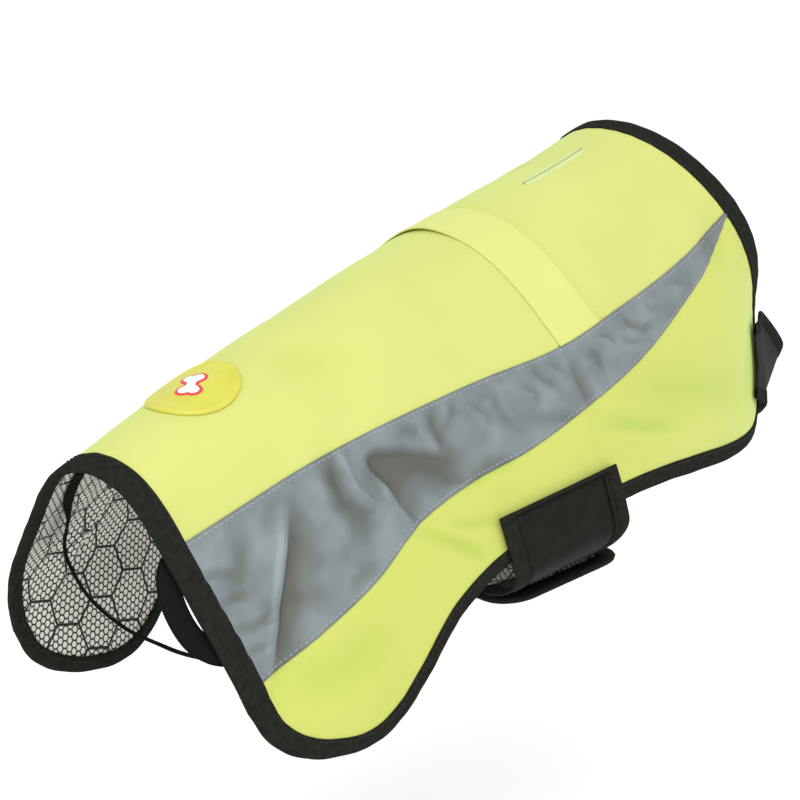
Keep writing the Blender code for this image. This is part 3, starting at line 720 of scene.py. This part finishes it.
def buildTape():
    reach = hemLine["s"][0]
    s = np.linspace(-reach, reach, 150)
    places = np.stack([np.full(len(s), -seamX), s], 1)
    trim = tapeLook["leftTrim"] * smoothstep(-50, -100, s)      # a little narrower down the left side
    addTape("tape_rear", "binding_rear", places, np.tile([-1.0, 0.0], (len(s), 1)), 0 * s, 1, 0.4, trim)
    reach = hemLine["s"][-1] + tapeWidth
    s = np.linspace(-reach, reach, 190)
    places = np.stack([np.full(len(s), seamX), s], 1)
    addTape("tape_neck", "binding_neck", places, np.tile([1.0, 0.0], (len(s), 1)), 0 * s, 1, 2.1, 0 * s)
    places, out, roll = hemPoints(330)
    keep = places[:, 0] < seamX
    places, out, roll = places[keep], out[keep], roll[keep]
    addTape("tape_hem_right", "binding_hem_right", places, out, roll, 1, 1.2, 0 * roll)
    onFlap = smoothstep(-190, -160, places[:, 0]) * smoothstep(-40, -100, places[:, 0])
    trim = tapeLook["leftTrim"] + tapeLook["flapTrim"] * onFlap
    addTape("tape_hem_left", "binding_hem_left", places, out, roll, -1, 3.1, trim)


buildTape()
print("edge tape made")

# flap, slot and badge on the back

band = {"rear": 41.0, "front": 73.0, "cloth": 0.8, "lie": 0.16, "gapHeight": 1.6, "gapAt": -13.0,
        "gapHalf": 17.0}
slot = {"middle": 136.0, "length": 51.0, "width": 6.4, "lift": 0.35, "rise": 0.55, "slitDepth": 1.0}
badge = {"x": -132.0, "s": -3.0, "radius": 21.8, "rise": 1.7, "rim": 2.4, "dish": 0.6, "boneLength": 7.4,
         "boneTurn": 0.5, "outline": 1.4}


def buildBand():
    x = np.linspace(band["rear"], band["front"], 22)
    across = np.linspace(1, -1, 110)
    reach = upperAt(x) - 0.3
    s = across[:, None] * reach
    xx = np.broadcast_to(x, s.shape)
    gapAcross = np.exp(-((s - band["gapAt"]) / band["gapHalf"]) ** 2)
    fromRear = (xx - band["rear"]) / (band["front"] - band["rear"])
    lift = band["lie"] + 0.5 + band["gapHeight"] * gapAcross * (1 - smoothstep(0, 0.75, fromRear))
    lift = lift + 0.12 * np.exp(-((xx - band["rear"] - 2) / 2.5) ** 2)       # the folded rear edge
    lift = lift - 0.7 * smoothstep(0.9, 1, fromRear)
    layOnCoat("back_band_cloth", "back_band", "fluorescent_polyester", xx, s, lift, bandYellow, band["cloth"],
              creaseShadeDepth["band"], (33, 172), ["back_panel_cloth"])


def buildSlot():
    x = np.linspace(-0.5, 0.5, 60)
    across = np.linspace(0.5, -0.5, 17)
    half = np.sqrt(np.clip(1 - (np.abs(x) * 2) ** 12, 0, 1))
    s = across[:, None] * slot["width"] * half
    xx = np.broadcast_to(slot["middle"] + x * slot["length"], s.shape)
    q = np.abs(across)[:, None] * 2 + 0 * xx
    lip = slot["rise"] * np.exp(-((q - 0.5) / 0.32) ** 2)
    slit = -slot["slitDepth"] * np.exp(-(q / 0.14) ** 2) * smoothstep(0.5, 0.42, np.abs(x))
    edge = -0.5 * smoothstep(0.85, 1, q)
    addSheet("leash_slot_welt", "leash_slot", "welt_film", onCoat(xx, s, slot["lift"] + lip + slit + edge),
             np.stack([xx, s], -1), film, coatNormal(xx, s), 0.0, (slot["width"], slot["length"]), "laid",
             ["back_panel_cloth"])


def onBadge(u, v, lift):
    return onCoat(badge["x"] + u, badge["s"] - v, lift)


def badgeUp():
    return coatNormal(badge["x"], badge["s"])


def buildBadge():
    top, floor = badge["rise"], badge["rise"] - badge["dish"]
    radius, inner = badge["radius"], badge["radius"] - badge["rim"]
    outline = ((radius - 1.2, 0.1), (radius, 0.1), (radius + 0.1, 0.5), (radius - 0.1, top - 0.7),
               (radius - 0.6, top - 0.2), (radius - 1.3, top), (inner + 0.9, top), (inner + 0.2, top - 0.35),
               (inner - 0.4, floor), (inner - 3, floor - 0.1), (inner * 0.6, floor + 0.1),
               (inner * 0.3, floor + 0.15), (0.05, floor + 0.15))
    around = np.linspace(0, 2 * math.pi, 97)
    rows = [onBadge(r * np.cos(around), r * np.sin(around), h) for r, h in outline]
    uv = np.stack([np.stack([r * np.cos(around), r * np.sin(around)], 1) for r, h in outline])
    piece = gridMesh("badge_disc", np.stack(rows), uv, rubber, badgeUp())
    mergeClose(piece)
    put(piece, "soft_rubber", "badge")
    for name, grow, lift, ink in (("badge_bone_outline", badge["outline"], 0.35, redInk),
                                  ("badge_bone", 0.0, 0.6, whiteInk)):
        buildBone(name, grow, floor + 0.1 + lift, ink)


def boneRadius(angle, grow):
    # distance from the middle to the edge of a plain bone: a shaft with two knobs at each end
    size = badge["boneLength"]
    best = []
    for t in angle:
        way = Vector((math.cos(t), math.sin(t)))
        shaft = min((0.62 * size + grow) / max(abs(way.x), 1e-6),
                    (0.27 * size + grow) / max(abs(way.y), 1e-6))
        for sx in (-1, 1):
            for sy in (-1, 1):
                knob = Vector((sx * 0.68 * size, sy * 0.29 * size))
                near = way.dot(knob)
                inside = (0.36 * size + grow) ** 2 - knob.length_squared + near * near
                if inside > 0 and near > 0:
                    shaft = max(shaft, near + math.sqrt(inside))
        best.append(shaft)
    return np.array(best)


def buildBone(name, grow, lift, ink):
    around = np.linspace(0, 2 * math.pi, 121)
    reach = boneRadius(around, grow)
    rows, uv = [], []
    for part, h in ((1.0, lift - 0.5), (1.0, lift - 0.12), (0.96, lift), (0.6, lift + 0.02),
                    (0.01, lift + 0.02)):
        u = part * reach * np.cos(around + badge["boneTurn"])
        v = part * reach * np.sin(around + badge["boneTurn"])
        rows.append(onBadge(u, v, h))
        uv.append(np.stack([u, v], 1))
    piece = gridMesh(name, np.stack(rows), np.stack(uv), ink, badgeUp())
    mergeClose(piece)
    put(piece, "soft_rubber")


def mergeClose(piece):
    # close the round seam and the middle of a turned piece
    work = bmesh.new()
    work.from_mesh(piece.data)
    bmesh.ops.remove_doubles(work, verts=work.verts, dist=0.00006)
    bmesh.ops.recalc_face_normals(work, faces=work.faces)
    work.to_mesh(piece.data)
    work.free()


buildBand()
buildSlot()
buildBadge()
print("flap, slot and badge made")

# belly band and tab

belly = {
    "line": ((-102, -143.5), (-85, -148), (-60, -151), (-30, -153), (0, -153), (30, -151), (58, -145),
             (78, -134), (88, -118), (90, -100), (88, -86)),          # y and z under the body
    "x": 27.0, "turn": math.radians(11), "start": 9.0, "length": 222.0, "sewn": 146.0, "shift": 27.0,
    "under": -4.2, "rise": (75.0, 18.0), "width": 82.0, "corner": 18.0, "tape": 10.0, "cloth": 0.8,
    # distance out from the cloth's edge and height, from the outer face round to the inner one, and girth
    "outline": ((0.0, -0.2, 0), (-7, -0.45, 7), (-9.3, 0.2, 9.4), (-10, 1.4, 10.8), (-9.4, 2.7, 12.2),
                (-7, 3.5, 14.7), (-3, 3.45, 18.7), (0.0, 3.2, 21.7)), "tapeWall": 0.7,
}
tab = {"x": -6.0, "s": 140.0, "turn": math.radians(10), "lift": 3.3, "laid": 26.0, "free": 34.0,
       "foot": 24.0, "footLift": 4.2, "narrowed": 0.9, "shift": 37.0, "width": 77.0, "tape": 9.0,
       "topTape": 2.2, "cloth": 1.2, "tapeWall": 0.5, "outline": (
           # inset from the edge and height: under the edge, round it, over the tape, and down its groove
           (9.0, -2.2), (2.0, -2.3), (0.3, -1.9), (-0.1, -0.9), (0.2, 0.1), (1.2, 0.5), (4.5, 0.55),
           (6.4, 1.05), (7.2, 0.9), (8.0, -0.7), (8.6, -0.7), (9.3, 0.7), (10.0, 0.95), (11.2, 0.1))}


bellyFine = through(belly["line"], 81)


def plainCoat(x, s, lift):
    point = readGrid(surfacePoints, np.array([x], float), np.array([s], float))[0]
    return Vector(point + readGrid(surfaceNormals, np.array([x], float), np.array([s], float))[0] * lift)


def onBelly(across, along, lift):
    sideways = across - belly["width"] / 2
    x = belly["x"] + sideways * math.cos(belly["turn"]) + along * math.sin(belly["turn"])
    run = along * math.cos(belly["turn"]) - sideways * math.sin(belly["turn"]) + belly["start"]
    n = 0
    while n < len(bellyFine) - 2:
        size = float(np.linalg.norm(bellyFine[n + 1] - bellyFine[n]))
        if run <= size:
            break
        run -= size
        n += 1
    way = (bellyFine[n + 1] - bellyFine[n]) / np.linalg.norm(bellyFine[n + 1] - bellyFine[n])
    y, z = bellyFine[n] + way * run
    hanging = Vector((x, y - way[1] * lift, z + way[0] * lift))
    sewn = plainCoat(x - belly["shift"], along - belly["length"] - belly["sewn"], belly["under"] - lift)
    start, end = belly["rise"]
    return hanging.lerp(sewn, float(smoothstep(belly["length"] - start, belly["length"] - end, along)))


def bellyOutline(inset, count):
    # points round the free end: up the rear edge and back along the front edge
    turns = [math.radians(n * 9) for n in range(11)]
    radius = belly["corner"] - inset
    corner = [(belly["corner"] - radius * math.cos(t), belly["corner"] - radius * math.sin(t)) for t in turns]
    straight = [(inset, along) for along in np.linspace(belly["length"], belly["corner"], count)[:-1]]
    rear = straight + corner
    return rear, [(belly["width"] - a, b) for a, b in rear[::-1]]


def buildBelly():
    rear, front = bellyOutline(belly["tape"] - 1, 50)
    for name, node, lift, cloth, slotName, inner in (
            ("belly_band_cloth", "belly_band", 1.2, nylon, "black_tape", False),
            ("belly_lining_mesh", "belly_lining", 2.7, netCloth, "hexagon_mesh", True)):
        rows, uv, ups = [], [], []
        for start, end in zip(rear, front[::-1]):
            line = [(start[0] + (end[0] - start[0]) * t, start[1]) for t in np.linspace(0, 1, 24)]
            swell = [0.25 * math.sin(a * 0.19 + b * 0.05) * math.sin(b * 0.11) for a, b in line]
            rows.append([onBelly(a, b, lift + h) for (a, b), h in zip(line, swell)])
            ups.append([onBelly(a, b, 0) - onBelly(a, b, 1) for a, b in line])
            uv.append(line)
        uv = np.array(uv)
        facing = -np.array(ups) if inner else np.array(ups)
        addSheet(name, node, slotName, np.array(rows), uv, cloth, facing, belly["cloth"], (66, 214), "hung",
                 ["lining_mesh"], flatArea(uv))
    lines, ups = [], []
    for out, h, _ in belly["outline"]:
        a, b = bellyOutline(belly["tape"] + out, 50)
        lines.append([onBelly(p, q, h) for p, q in a + b])
        turned = 1 if h < 1.4 else -1
        ups.append([(onBelly(p, q, 0) - onBelly(p, q, 1)) * turned for p, q in a + b])
    rows = np.array(lines)
    steps = runLength(rows[0])
    girths = [row[2] for row in belly["outline"]]
    addSheet("belly_tape", "belly_binding", "black_tape", rows, gridUv(steps, girths), tape, np.array(ups),
             belly["tapeWall"], (girths[-1], float(steps[-1])), "folded", ["belly_band_cloth"])


def bridge(start, leaving, end, arriving, t):
    return (start * (1 + 2 * t) * (1 - t) ** 2 + leaving * t * (1 - t) ** 2
            + end * t * t * (3 - 2 * t) + arriving * t * t * (t - 1))


def onTab(across, down, lift):
    laid = min(down, tab["laid"])
    cosine, sine = math.cos(tab["turn"]), math.sin(tab["turn"])
    x = tab["x"] + across * cosine - laid * sine
    s = tab["s"] + across * sine + laid * cosine
    top = plainCoat(x, s, tab["lift"] + lift)
    if down <= tab["laid"]:
        return top
    above = plainCoat(x + sine, s - cosine, tab["lift"] + lift)
    place = tab["shift"] + across * tab["narrowed"]
    foot = onBelly(place, tab["foot"], tab["footLift"] - 2 - lift)
    inner = onBelly(place, tab["foot"] + 1, tab["footLift"] - 2 - lift)
    return bridge(top, (top - above).normalized() * tab["free"], foot,
                  (inner - foot).normalized() * tab["free"], (down - tab["laid"]) / tab["free"])


def tabUp(across, down):
    return onTab(across, down, 1.0) - onTab(across, down, 0.0)


def buildTab():
    length, half = tab["laid"] + tab["free"], tab["width"] / 2
    downs = np.linspace(tab["topTape"] - 0.6, length, 44)
    acrosses = np.linspace(-half + tab["tape"] - 2, half - tab["tape"] + 2, 44)
    rows, uv, ups = [], [], []
    for d in downs:
        swell = [0.5 * math.sin(a * 0.16 + 1) * math.sin(d * 0.09) - 0.35 for a in acrosses]
        rows.append([onTab(a, d, h) for a, h in zip(acrosses, swell)])
        ups.append([tabUp(a, d) for a in acrosses])
        uv.append([(a, d) for a in acrosses])
    rows = np.array(rows)
    addSheet("belly_tab_cloth", "belly_tab", "black_tape", rows, np.array(uv), nylon, np.array(ups),
             tab["cloth"], (63, float(runLength(rows[:, 22])[-1])), "laid", ["side_panel_cloth_right"])
    sides = [(-half, d) for d in np.linspace(length, 0, 40)] + [(half, d) for d in np.linspace(0, length, 40)]
    top = [(a, 0.0) for a in np.linspace(-half, half, 40)][1:-1]
    edge = sides[:40] + top + sides[40:]
    outline = tab["outline"]
    rows, ups, girths = [], [], [0.0]
    for inset, h in outline:
        turned = 1 if h > -0.9 else -1
        fromTop = inset if inset < 1 else 1 + (inset - 1) * (tab["topTape"] - 1) / (tab["tape"] - 1)
        places = [(math.copysign(min(abs(a), half - inset), a), max(d, fromTop)) for a, d in edge]
        rows.append([onTab(a, d, h) for a, d in places])
        ups.append([tabUp(a, d) * turned for a, d in places])
    for (a0, h0), (a1, h1) in zip(outline, outline[1:]):
        girths.append(girths[-1] + math.hypot(a1 - a0, h1 - h0))
    rows = np.array(rows)
    steps = runLength(rows[3])
    addSheet("belly_tab_tape", "tab_binding", "black_tape", rows, gridUv(steps, girths), tape, np.array(ups),
             tab["tapeWall"], (girths[-1], float(steps[-1])), "folded", ["belly_tab_cloth"])


buildBelly()
buildTab()
print("belly band and tab made")

# chest strap and elastics

chest = {"start": ((177, 158), (146, 186)), "edge": ((203, 178), (158, 206)), "lifts": (1.3, 2.9, 4.0),
         "top": ((328, -29, -125), (339, 0, -134)), "bottom": ((294, -31, -158), (304, 0, -168)),
         "tape": 0.155, "cloth": 1.2, "tapeWall": 0.5, "outline": (
             # part of the strap's width and height, from under the edge round to the tape's inner lip
             (0.155, -1.6), (0.03, -1.7), (0.005, -1.4), (-0.004, -0.7), (0.004, 0.05), (0.03, 0.35),
             (0.09, 0.45), (0.14, 0.4), (0.16, -0.1))}


def chestPoint(part):
    start, edge = [np.array(chest[end][0]) * (1 - part) + np.array(chest[end][1]) * part
                   for end in ("start", "edge")]
    line = [plainCoat(*(start * (1 - t) + edge * t), lift) for t, lift in zip((0, 0.5, 1), chest["lifts"])]
    free = [Vector(a).lerp(Vector(b), part) for a, b in zip(chest["top"], chest["bottom"])]
    beyond = Vector((free[0].x, -free[0].y, free[0].z))
    half = through([tuple(p) for p in line + free + [beyond]], 61)[:51]
    other = half[::-1][1:] * np.array([1, -1, 1])
    return np.concatenate([half, other])


def strapRows(parts, heights):
    # rows along the strap at parts of its width, each raised square to the strap, and their outer side
    lines = np.array([chestPoint(p) for p in parts])
    along = np.gradient(lines, axis=1)
    across = chestPoint(0)[None] - chestPoint(1)[None]
    normal = np.cross(along, across)
    normal /= np.linalg.norm(normal, axis=-1, keepdims=True)
    middle = normal[:, normal.shape[1] // 2, :]
    normal = normal * np.where(middle[:, 0] > middle[:, 2], 1, -1)[:, None, None]
    return lines + normal * np.array(heights)[:, None, None], normal


def lengthUv(rows):
    return gridUv(runLength(rows[0]), runLength(rows[:, 0]))


def buildChest():
    low = chest["tape"] - 0.03
    parts = np.linspace(low, 1 - low, 22)
    rows, normal = strapRows(parts, 0.25 * np.sin(parts * 9) - 0.3)
    uv = lengthUv(rows)
    addSheet("chest_strap_cloth", "chest_strap", "black_tape", rows, uv, nylon, normal, chest["cloth"],
             (float(uv[-1, 0, 1]), float(uv[0, -1, 0])), "hung", ["tape_neck"])
    edges, heights = np.array(chest["outline"]).T
    for name, node, flipped in (("chest_tape_top", "chest_binding_top", False),
                                ("chest_tape_bottom", "chest_binding_bottom", True)):
        rows, normal = strapRows(1 - edges if flipped else edges, heights)
        uv = lengthUv(rows)
        turned = np.where(heights > -1, 1.0, -1.0)
        addSheet(name, node, "black_tape", rows, uv, tape, normal * turned[:, None, None], chest["tapeWall"],
                 (float(uv[-1, 0, 1]), float(uv[0, -1, 0])), "folded", ["chest_strap_cloth"])


legElastic = {"width": 12.0, "thick": 1.2, "line": (
    (-176, 60, -3.5), (-188, 57, -3.9), (-198, 59, -4.4), (-203, 66, -5), (-205, 77, -5.5),
    (-204, 89, -5.5), (-198, 99, -5), (-188, 105, -4.2), (-176, 106, -3.5))}
rearElastic = {"width": 7.0, "thick": 1.2, "widthWay": (-0.72, -0.58, 0.37),
               "start": ((-176, -44, -3.6), (-178, -58, -4), (-176, -72, -6)),
               "middle": ((-168, 51, -98), (-169, 46, -108), (-170, 33, -119), (-169, 14, -127),
                          (-171, -10, -127), (-176, -32, -123)),
               "end": ((-190, 110, -9), (-184, 120, -4.6), (-172, 127, -3.4))}


def elasticPiece(name, node, path, ways, width, thick):
    # ways point along the braid's width
    path, ways = through(path, 90), through(ways, 90)
    heading = np.gradient(path, axis=0)
    heading /= np.linalg.norm(heading, axis=1, keepdims=True)
    ways = ways - heading * (ways * heading).sum(1, keepdims=True)
    ways /= np.linalg.norm(ways, axis=1, keepdims=True)
    facings = np.cross(ways, heading)
    across = width / 2 * np.array([-1, -0.97, -0.8, -0.4, 0, 0.4, 0.8, 0.97, 1])
    crown = np.array([-0.5, -0.15, 0, 0.05, 0.06, 0.05, 0, -0.15, -0.5])
    rows = path + ways * across[:, None, None] + facings * crown[:, None, None] * thick
    uv = lengthUv(rows)
    addSheet(name, node, "black_elastic", rows, uv, elasticCloth, facings, thick * 0.8,
             (width, float(uv[4, -1, 0])), "stretched", ["lining_mesh"])


def buildElastics():
    path = onCoat(*np.array(legElastic["line"]).T)
    facings = np.array([coatNormal(p[0], p[1]) for p in legElastic["line"]])
    ways = np.cross(facings, np.gradient(path, axis=0))
    elasticPiece("leg_elastic_braid", "leg_elastic", path, ways / np.linalg.norm(ways, axis=1)[:, None],
                 legElastic["width"], legElastic["thick"])
    start, middle, end = rearElastic["start"], rearElastic["middle"], rearElastic["end"]
    path = np.concatenate([onCoat(*np.array(start).T), np.array(middle, float), onCoat(*np.array(end).T)])
    ways = [(-1.0, 0.0, 0.0)] * 2 + [rearElastic["widthWay"]] * (len(middle) + 2) + [(-1.0, 0.0, 0.0)] * 2
    elasticPiece("rear_elastic_braid", "rear_elastic", path, ways, rearElastic["width"],
                 rearElastic["thick"])


buildChest()
buildElastics()
print("chest strap and elastics made")

# stitches: one Geometry Nodes tree lays a stitch at each step of a line


def stitchTree():
    tree = bpy.data.node_groups.new("stitchLine", "GeometryNodeTree")
    face = tree.interface
    face.new_socket("Geometry", in_out="INPUT", socket_type="NodeSocketGeometry")
    for name, value in (("Pitch", 0.003), ("Length", 0.0024), ("Thickness", 0.0004)):
        face.new_socket(name, in_out="INPUT", socket_type="NodeSocketFloat").default_value = value
    face.new_socket("Material", in_out="INPUT", socket_type="NodeSocketMaterial")
    face.new_socket("Geometry", in_out="OUTPUT", socket_type="NodeSocketGeometry")
    given = addNode(tree, "NodeGroupInput").outputs
    curve = addNode(tree, "GeometryNodeMeshToCurve", {0: given["Geometry"]})
    spaced = addNode(tree, "GeometryNodeResampleCurve", {"Curve": curve.outputs[0], "Length": given["Pitch"]},
                     mode="LENGTH")
    bead = addNode(tree, "GeometryNodeMeshIcoSphere", {"Radius": 1.0, "Subdivisions": 1})
    rounded = addNode(tree, "GeometryNodeSetShadeSmooth", {0: bead.outputs[0]})
    up = addNode(tree, "GeometryNodeInputNamedAttribute", {"Name": "up"}, data_type="FLOAT_VECTOR")
    way = addNode(tree, "GeometryNodeInputTangent")
    turn = addNode(tree, "FunctionNodeAxesToRotation", {0: way.outputs[0], 1: up.outputs[0]},
                   primary_axis="X", secondary_axis="Z")
    half = addNode(tree, "ShaderNodeMath", {0: given["Length"], 1: 0.5}, operation="MULTIPLY")
    size = addNode(tree, "ShaderNodeCombineXYZ",
                   {0: half.outputs[0], 1: given["Thickness"], 2: given["Thickness"]})
    laid = addNode(tree, "GeometryNodeInstanceOnPoints",
                   {"Points": spaced.outputs[0], "Instance": rounded.outputs[0],
                    "Rotation": turn.outputs[0], "Scale": size.outputs[0]})
    real = addNode(tree, "GeometryNodeRealizeInstances", {0: laid.outputs[0]})
    dyed = addNode(tree, "GeometryNodeSetMaterial", {0: real.outputs[0], "Material": given["Material"]})
    addNode(tree, "NodeGroupOutput", {0: dyed.outputs[0]})
    return tree


stitchGroup = stitchTree()
stitches = {"pitch": 3.1, "length": 2.4, "thickness": 0.2, "fromEdge": 1.3, "onTape": 1.5, "inTape": 5.8,
            "overCloth": 0.12, "overTape": 0.98, "underTape": -3.2, "underHem": -3.25, "bandReach": 84.0,
            "pastBand": 1.8}


def sewLines(name, lines, thread, slotName):
    # lines holds pairs of points and ups, in millimetres
    points, edges, ups = [], [], []
    for line, up in lines:
        first = len(points)
        points += [tuple(p * mm) for p in line]
        ups += [tuple(u) for u in up]
        edges += [(n, n + 1) for n in range(first, len(points) - 1)]
    mesh = bpy.data.meshes.new(name + "_path")
    mesh.from_pydata(points, edges, [])
    mesh.attributes.new("up", "FLOAT_VECTOR", "POINT").data.foreach_set("vector", np.array(ups).ravel())
    path = addObject(name + "_path", mesh)
    sewing = path.modifiers.new("sewing", "NODES")
    sewing.node_group = stitchGroup
    values = {"Pitch": stitches["pitch"] * mm, "Length": stitches["length"] * mm,
              "Thickness": stitches["thickness"] * mm, "Material": thread}
    for item in stitchGroup.interface.items_tree:
        if item.in_out == "INPUT" and item.name in values:
            sewing[item.identifier] = values[item.name]
    shown = path.evaluated_get(bpy.context.evaluated_depsgraph_get())
    made = bpy.data.meshes.new_from_object(shown)
    path.modifiers.remove(sewing)
    bpy.data.objects.remove(path)
    made.name = name
    put(addObject(name, made), slotName)


def coatLine(x, s, lift):
    return onCoat(x, s, lift), coatNormal(x, s)


def sewStripes():
    lines = []
    onStripe = panels["stripeRise"] + stitches["overCloth"]
    for side in (1, -1):
        x = np.linspace(-seamX + 1, seamX - 3, 400)
        lines.append(coatLine(x, side * (upperAt(x) + stitches["fromEdge"]), onStripe))
        x = np.linspace(-seamX + 1, seamX - 30, 380)
        lines.append(coatLine(x, side * (lowerAt(x) - stitches["fromEdge"]), onStripe))
    sewLines("stripe_stitches", lines, paleThread, "reflective_fabric")


def sewTape():
    lines = []
    for sign, reach in ((-1, hemLine["s"][0]), (1, hemLine["s"][-1] + 8)):
        s = np.linspace(-reach, reach, 300)
        lines.append(coatLine(np.full(len(s), sign * (seamX + stitches["onTape"])), s, stitches["overTape"]))
        lines.append(coatLine(np.full(len(s), sign * (seamX + stitches["inTape"])), s,
                              stitches["underTape"]))
    places, out, roll = hemPoints(500)
    for side in (1, -1):
        place = places + out * (roll + stitches["onTape"])[:, None]
        lines.append(coatLine(place[:, 0], side * place[:, 1], stitches["overTape"]))
        place = places + out * stitches["inTape"]
        lines.append(coatLine(place[:, 0], side * place[:, 1], stitches["underHem"]))
    sewLines("tape_stitches", lines, blackThread, "black_tape")


def sewBand():
    s = np.linspace(-stitches["bandReach"], stitches["bandReach"], 240)
    line = coatLine(np.full(len(s), band["front"] + stitches["pastBand"]), s, stitches["overCloth"])
    sewLines("band_stitches", [line], yellowThread, "fluorescent_polyester")


sewStripes()
sewTape()
sewBand()
print("seams sewn")

# floor, light and camera

studio = {"floorHeight": -0.42, "floorSize": 30.0, "floor": "#FFFFFE", "world": 0.93}
lamps = {      # place and aim in metres, size in metres, and power in watts
    "key": {"at": (-0.9, -1.0, 2.3), "aim": (0.0, 0.0, -0.05), "size": 1.6, "power": 34.0},
    "side": {"at": (-2.1, 0.3, 0.9), "aim": (-0.1, 0.0, -0.05), "size": 1.4, "power": 9.0},
    "front": {"at": (0.9, -2.0, 0.7), "aim": (0.05, 0.0, -0.05), "size": 1.6, "power": 7.0},
}
view = {"turn": 51.1, "tilt": 21.6, "distance": 1.239, "aim": (0.0108, 0.0, -0.0692), "lens": 113.85}


def buildStudio():
    half = studio["floorSize"] / 2
    height = studio["floorHeight"]
    mesh = bpy.data.meshes.new("floor")
    mesh.from_pydata([(-half, -half, height), (half, -half, height), (half, half, height),
                      (-half, half, height)], [], [(0, 1, 2, 3)])
    mesh.materials.append(newMaterial("paper_sweep", studio["floor"], 0.9)[0])
    addObject("floor", mesh)
    world = bpy.data.worlds.new("studio")
    world.use_nodes = True
    world.node_tree.nodes["Background"].inputs[0].default_value = (1, 1, 1, 1)
    world.node_tree.nodes["Background"].inputs[1].default_value = studio["world"]
    bpy.context.scene.world = world
    for name, lamp in lamps.items():
        light = bpy.data.lights.new(name, "AREA")
        light.size = lamp["size"]
        light.energy = lamp["power"]
        holder = addObject(name, light)
        holder.location = lamp["at"]
        holder.rotation_euler = (Vector(lamp["aim"]) - Vector(lamp["at"])).to_track_quat("-Z", "Y").to_euler()


def buildCamera():
    turn, tilt = math.radians(view["turn"]), math.radians(view["tilt"])
    back = Vector((-math.cos(tilt) * math.sin(turn), -math.cos(tilt) * math.cos(turn), math.sin(tilt)))
    lens = bpy.data.cameras.new("photo_view")
    lens.lens = view["lens"]
    lens.sensor_width = 36.0
    holder = addObject("photo_view", lens)
    holder.location = Vector(view["aim"]) + back * view["distance"]
    holder.rotation_euler = (-back).to_track_quat("-Z", "Y").to_euler()
    bpy.context.scene.camera = holder


buildStudio()
buildCamera()
bpy.context.scene.view_settings.view_transform = "Standard"
print("studio made")
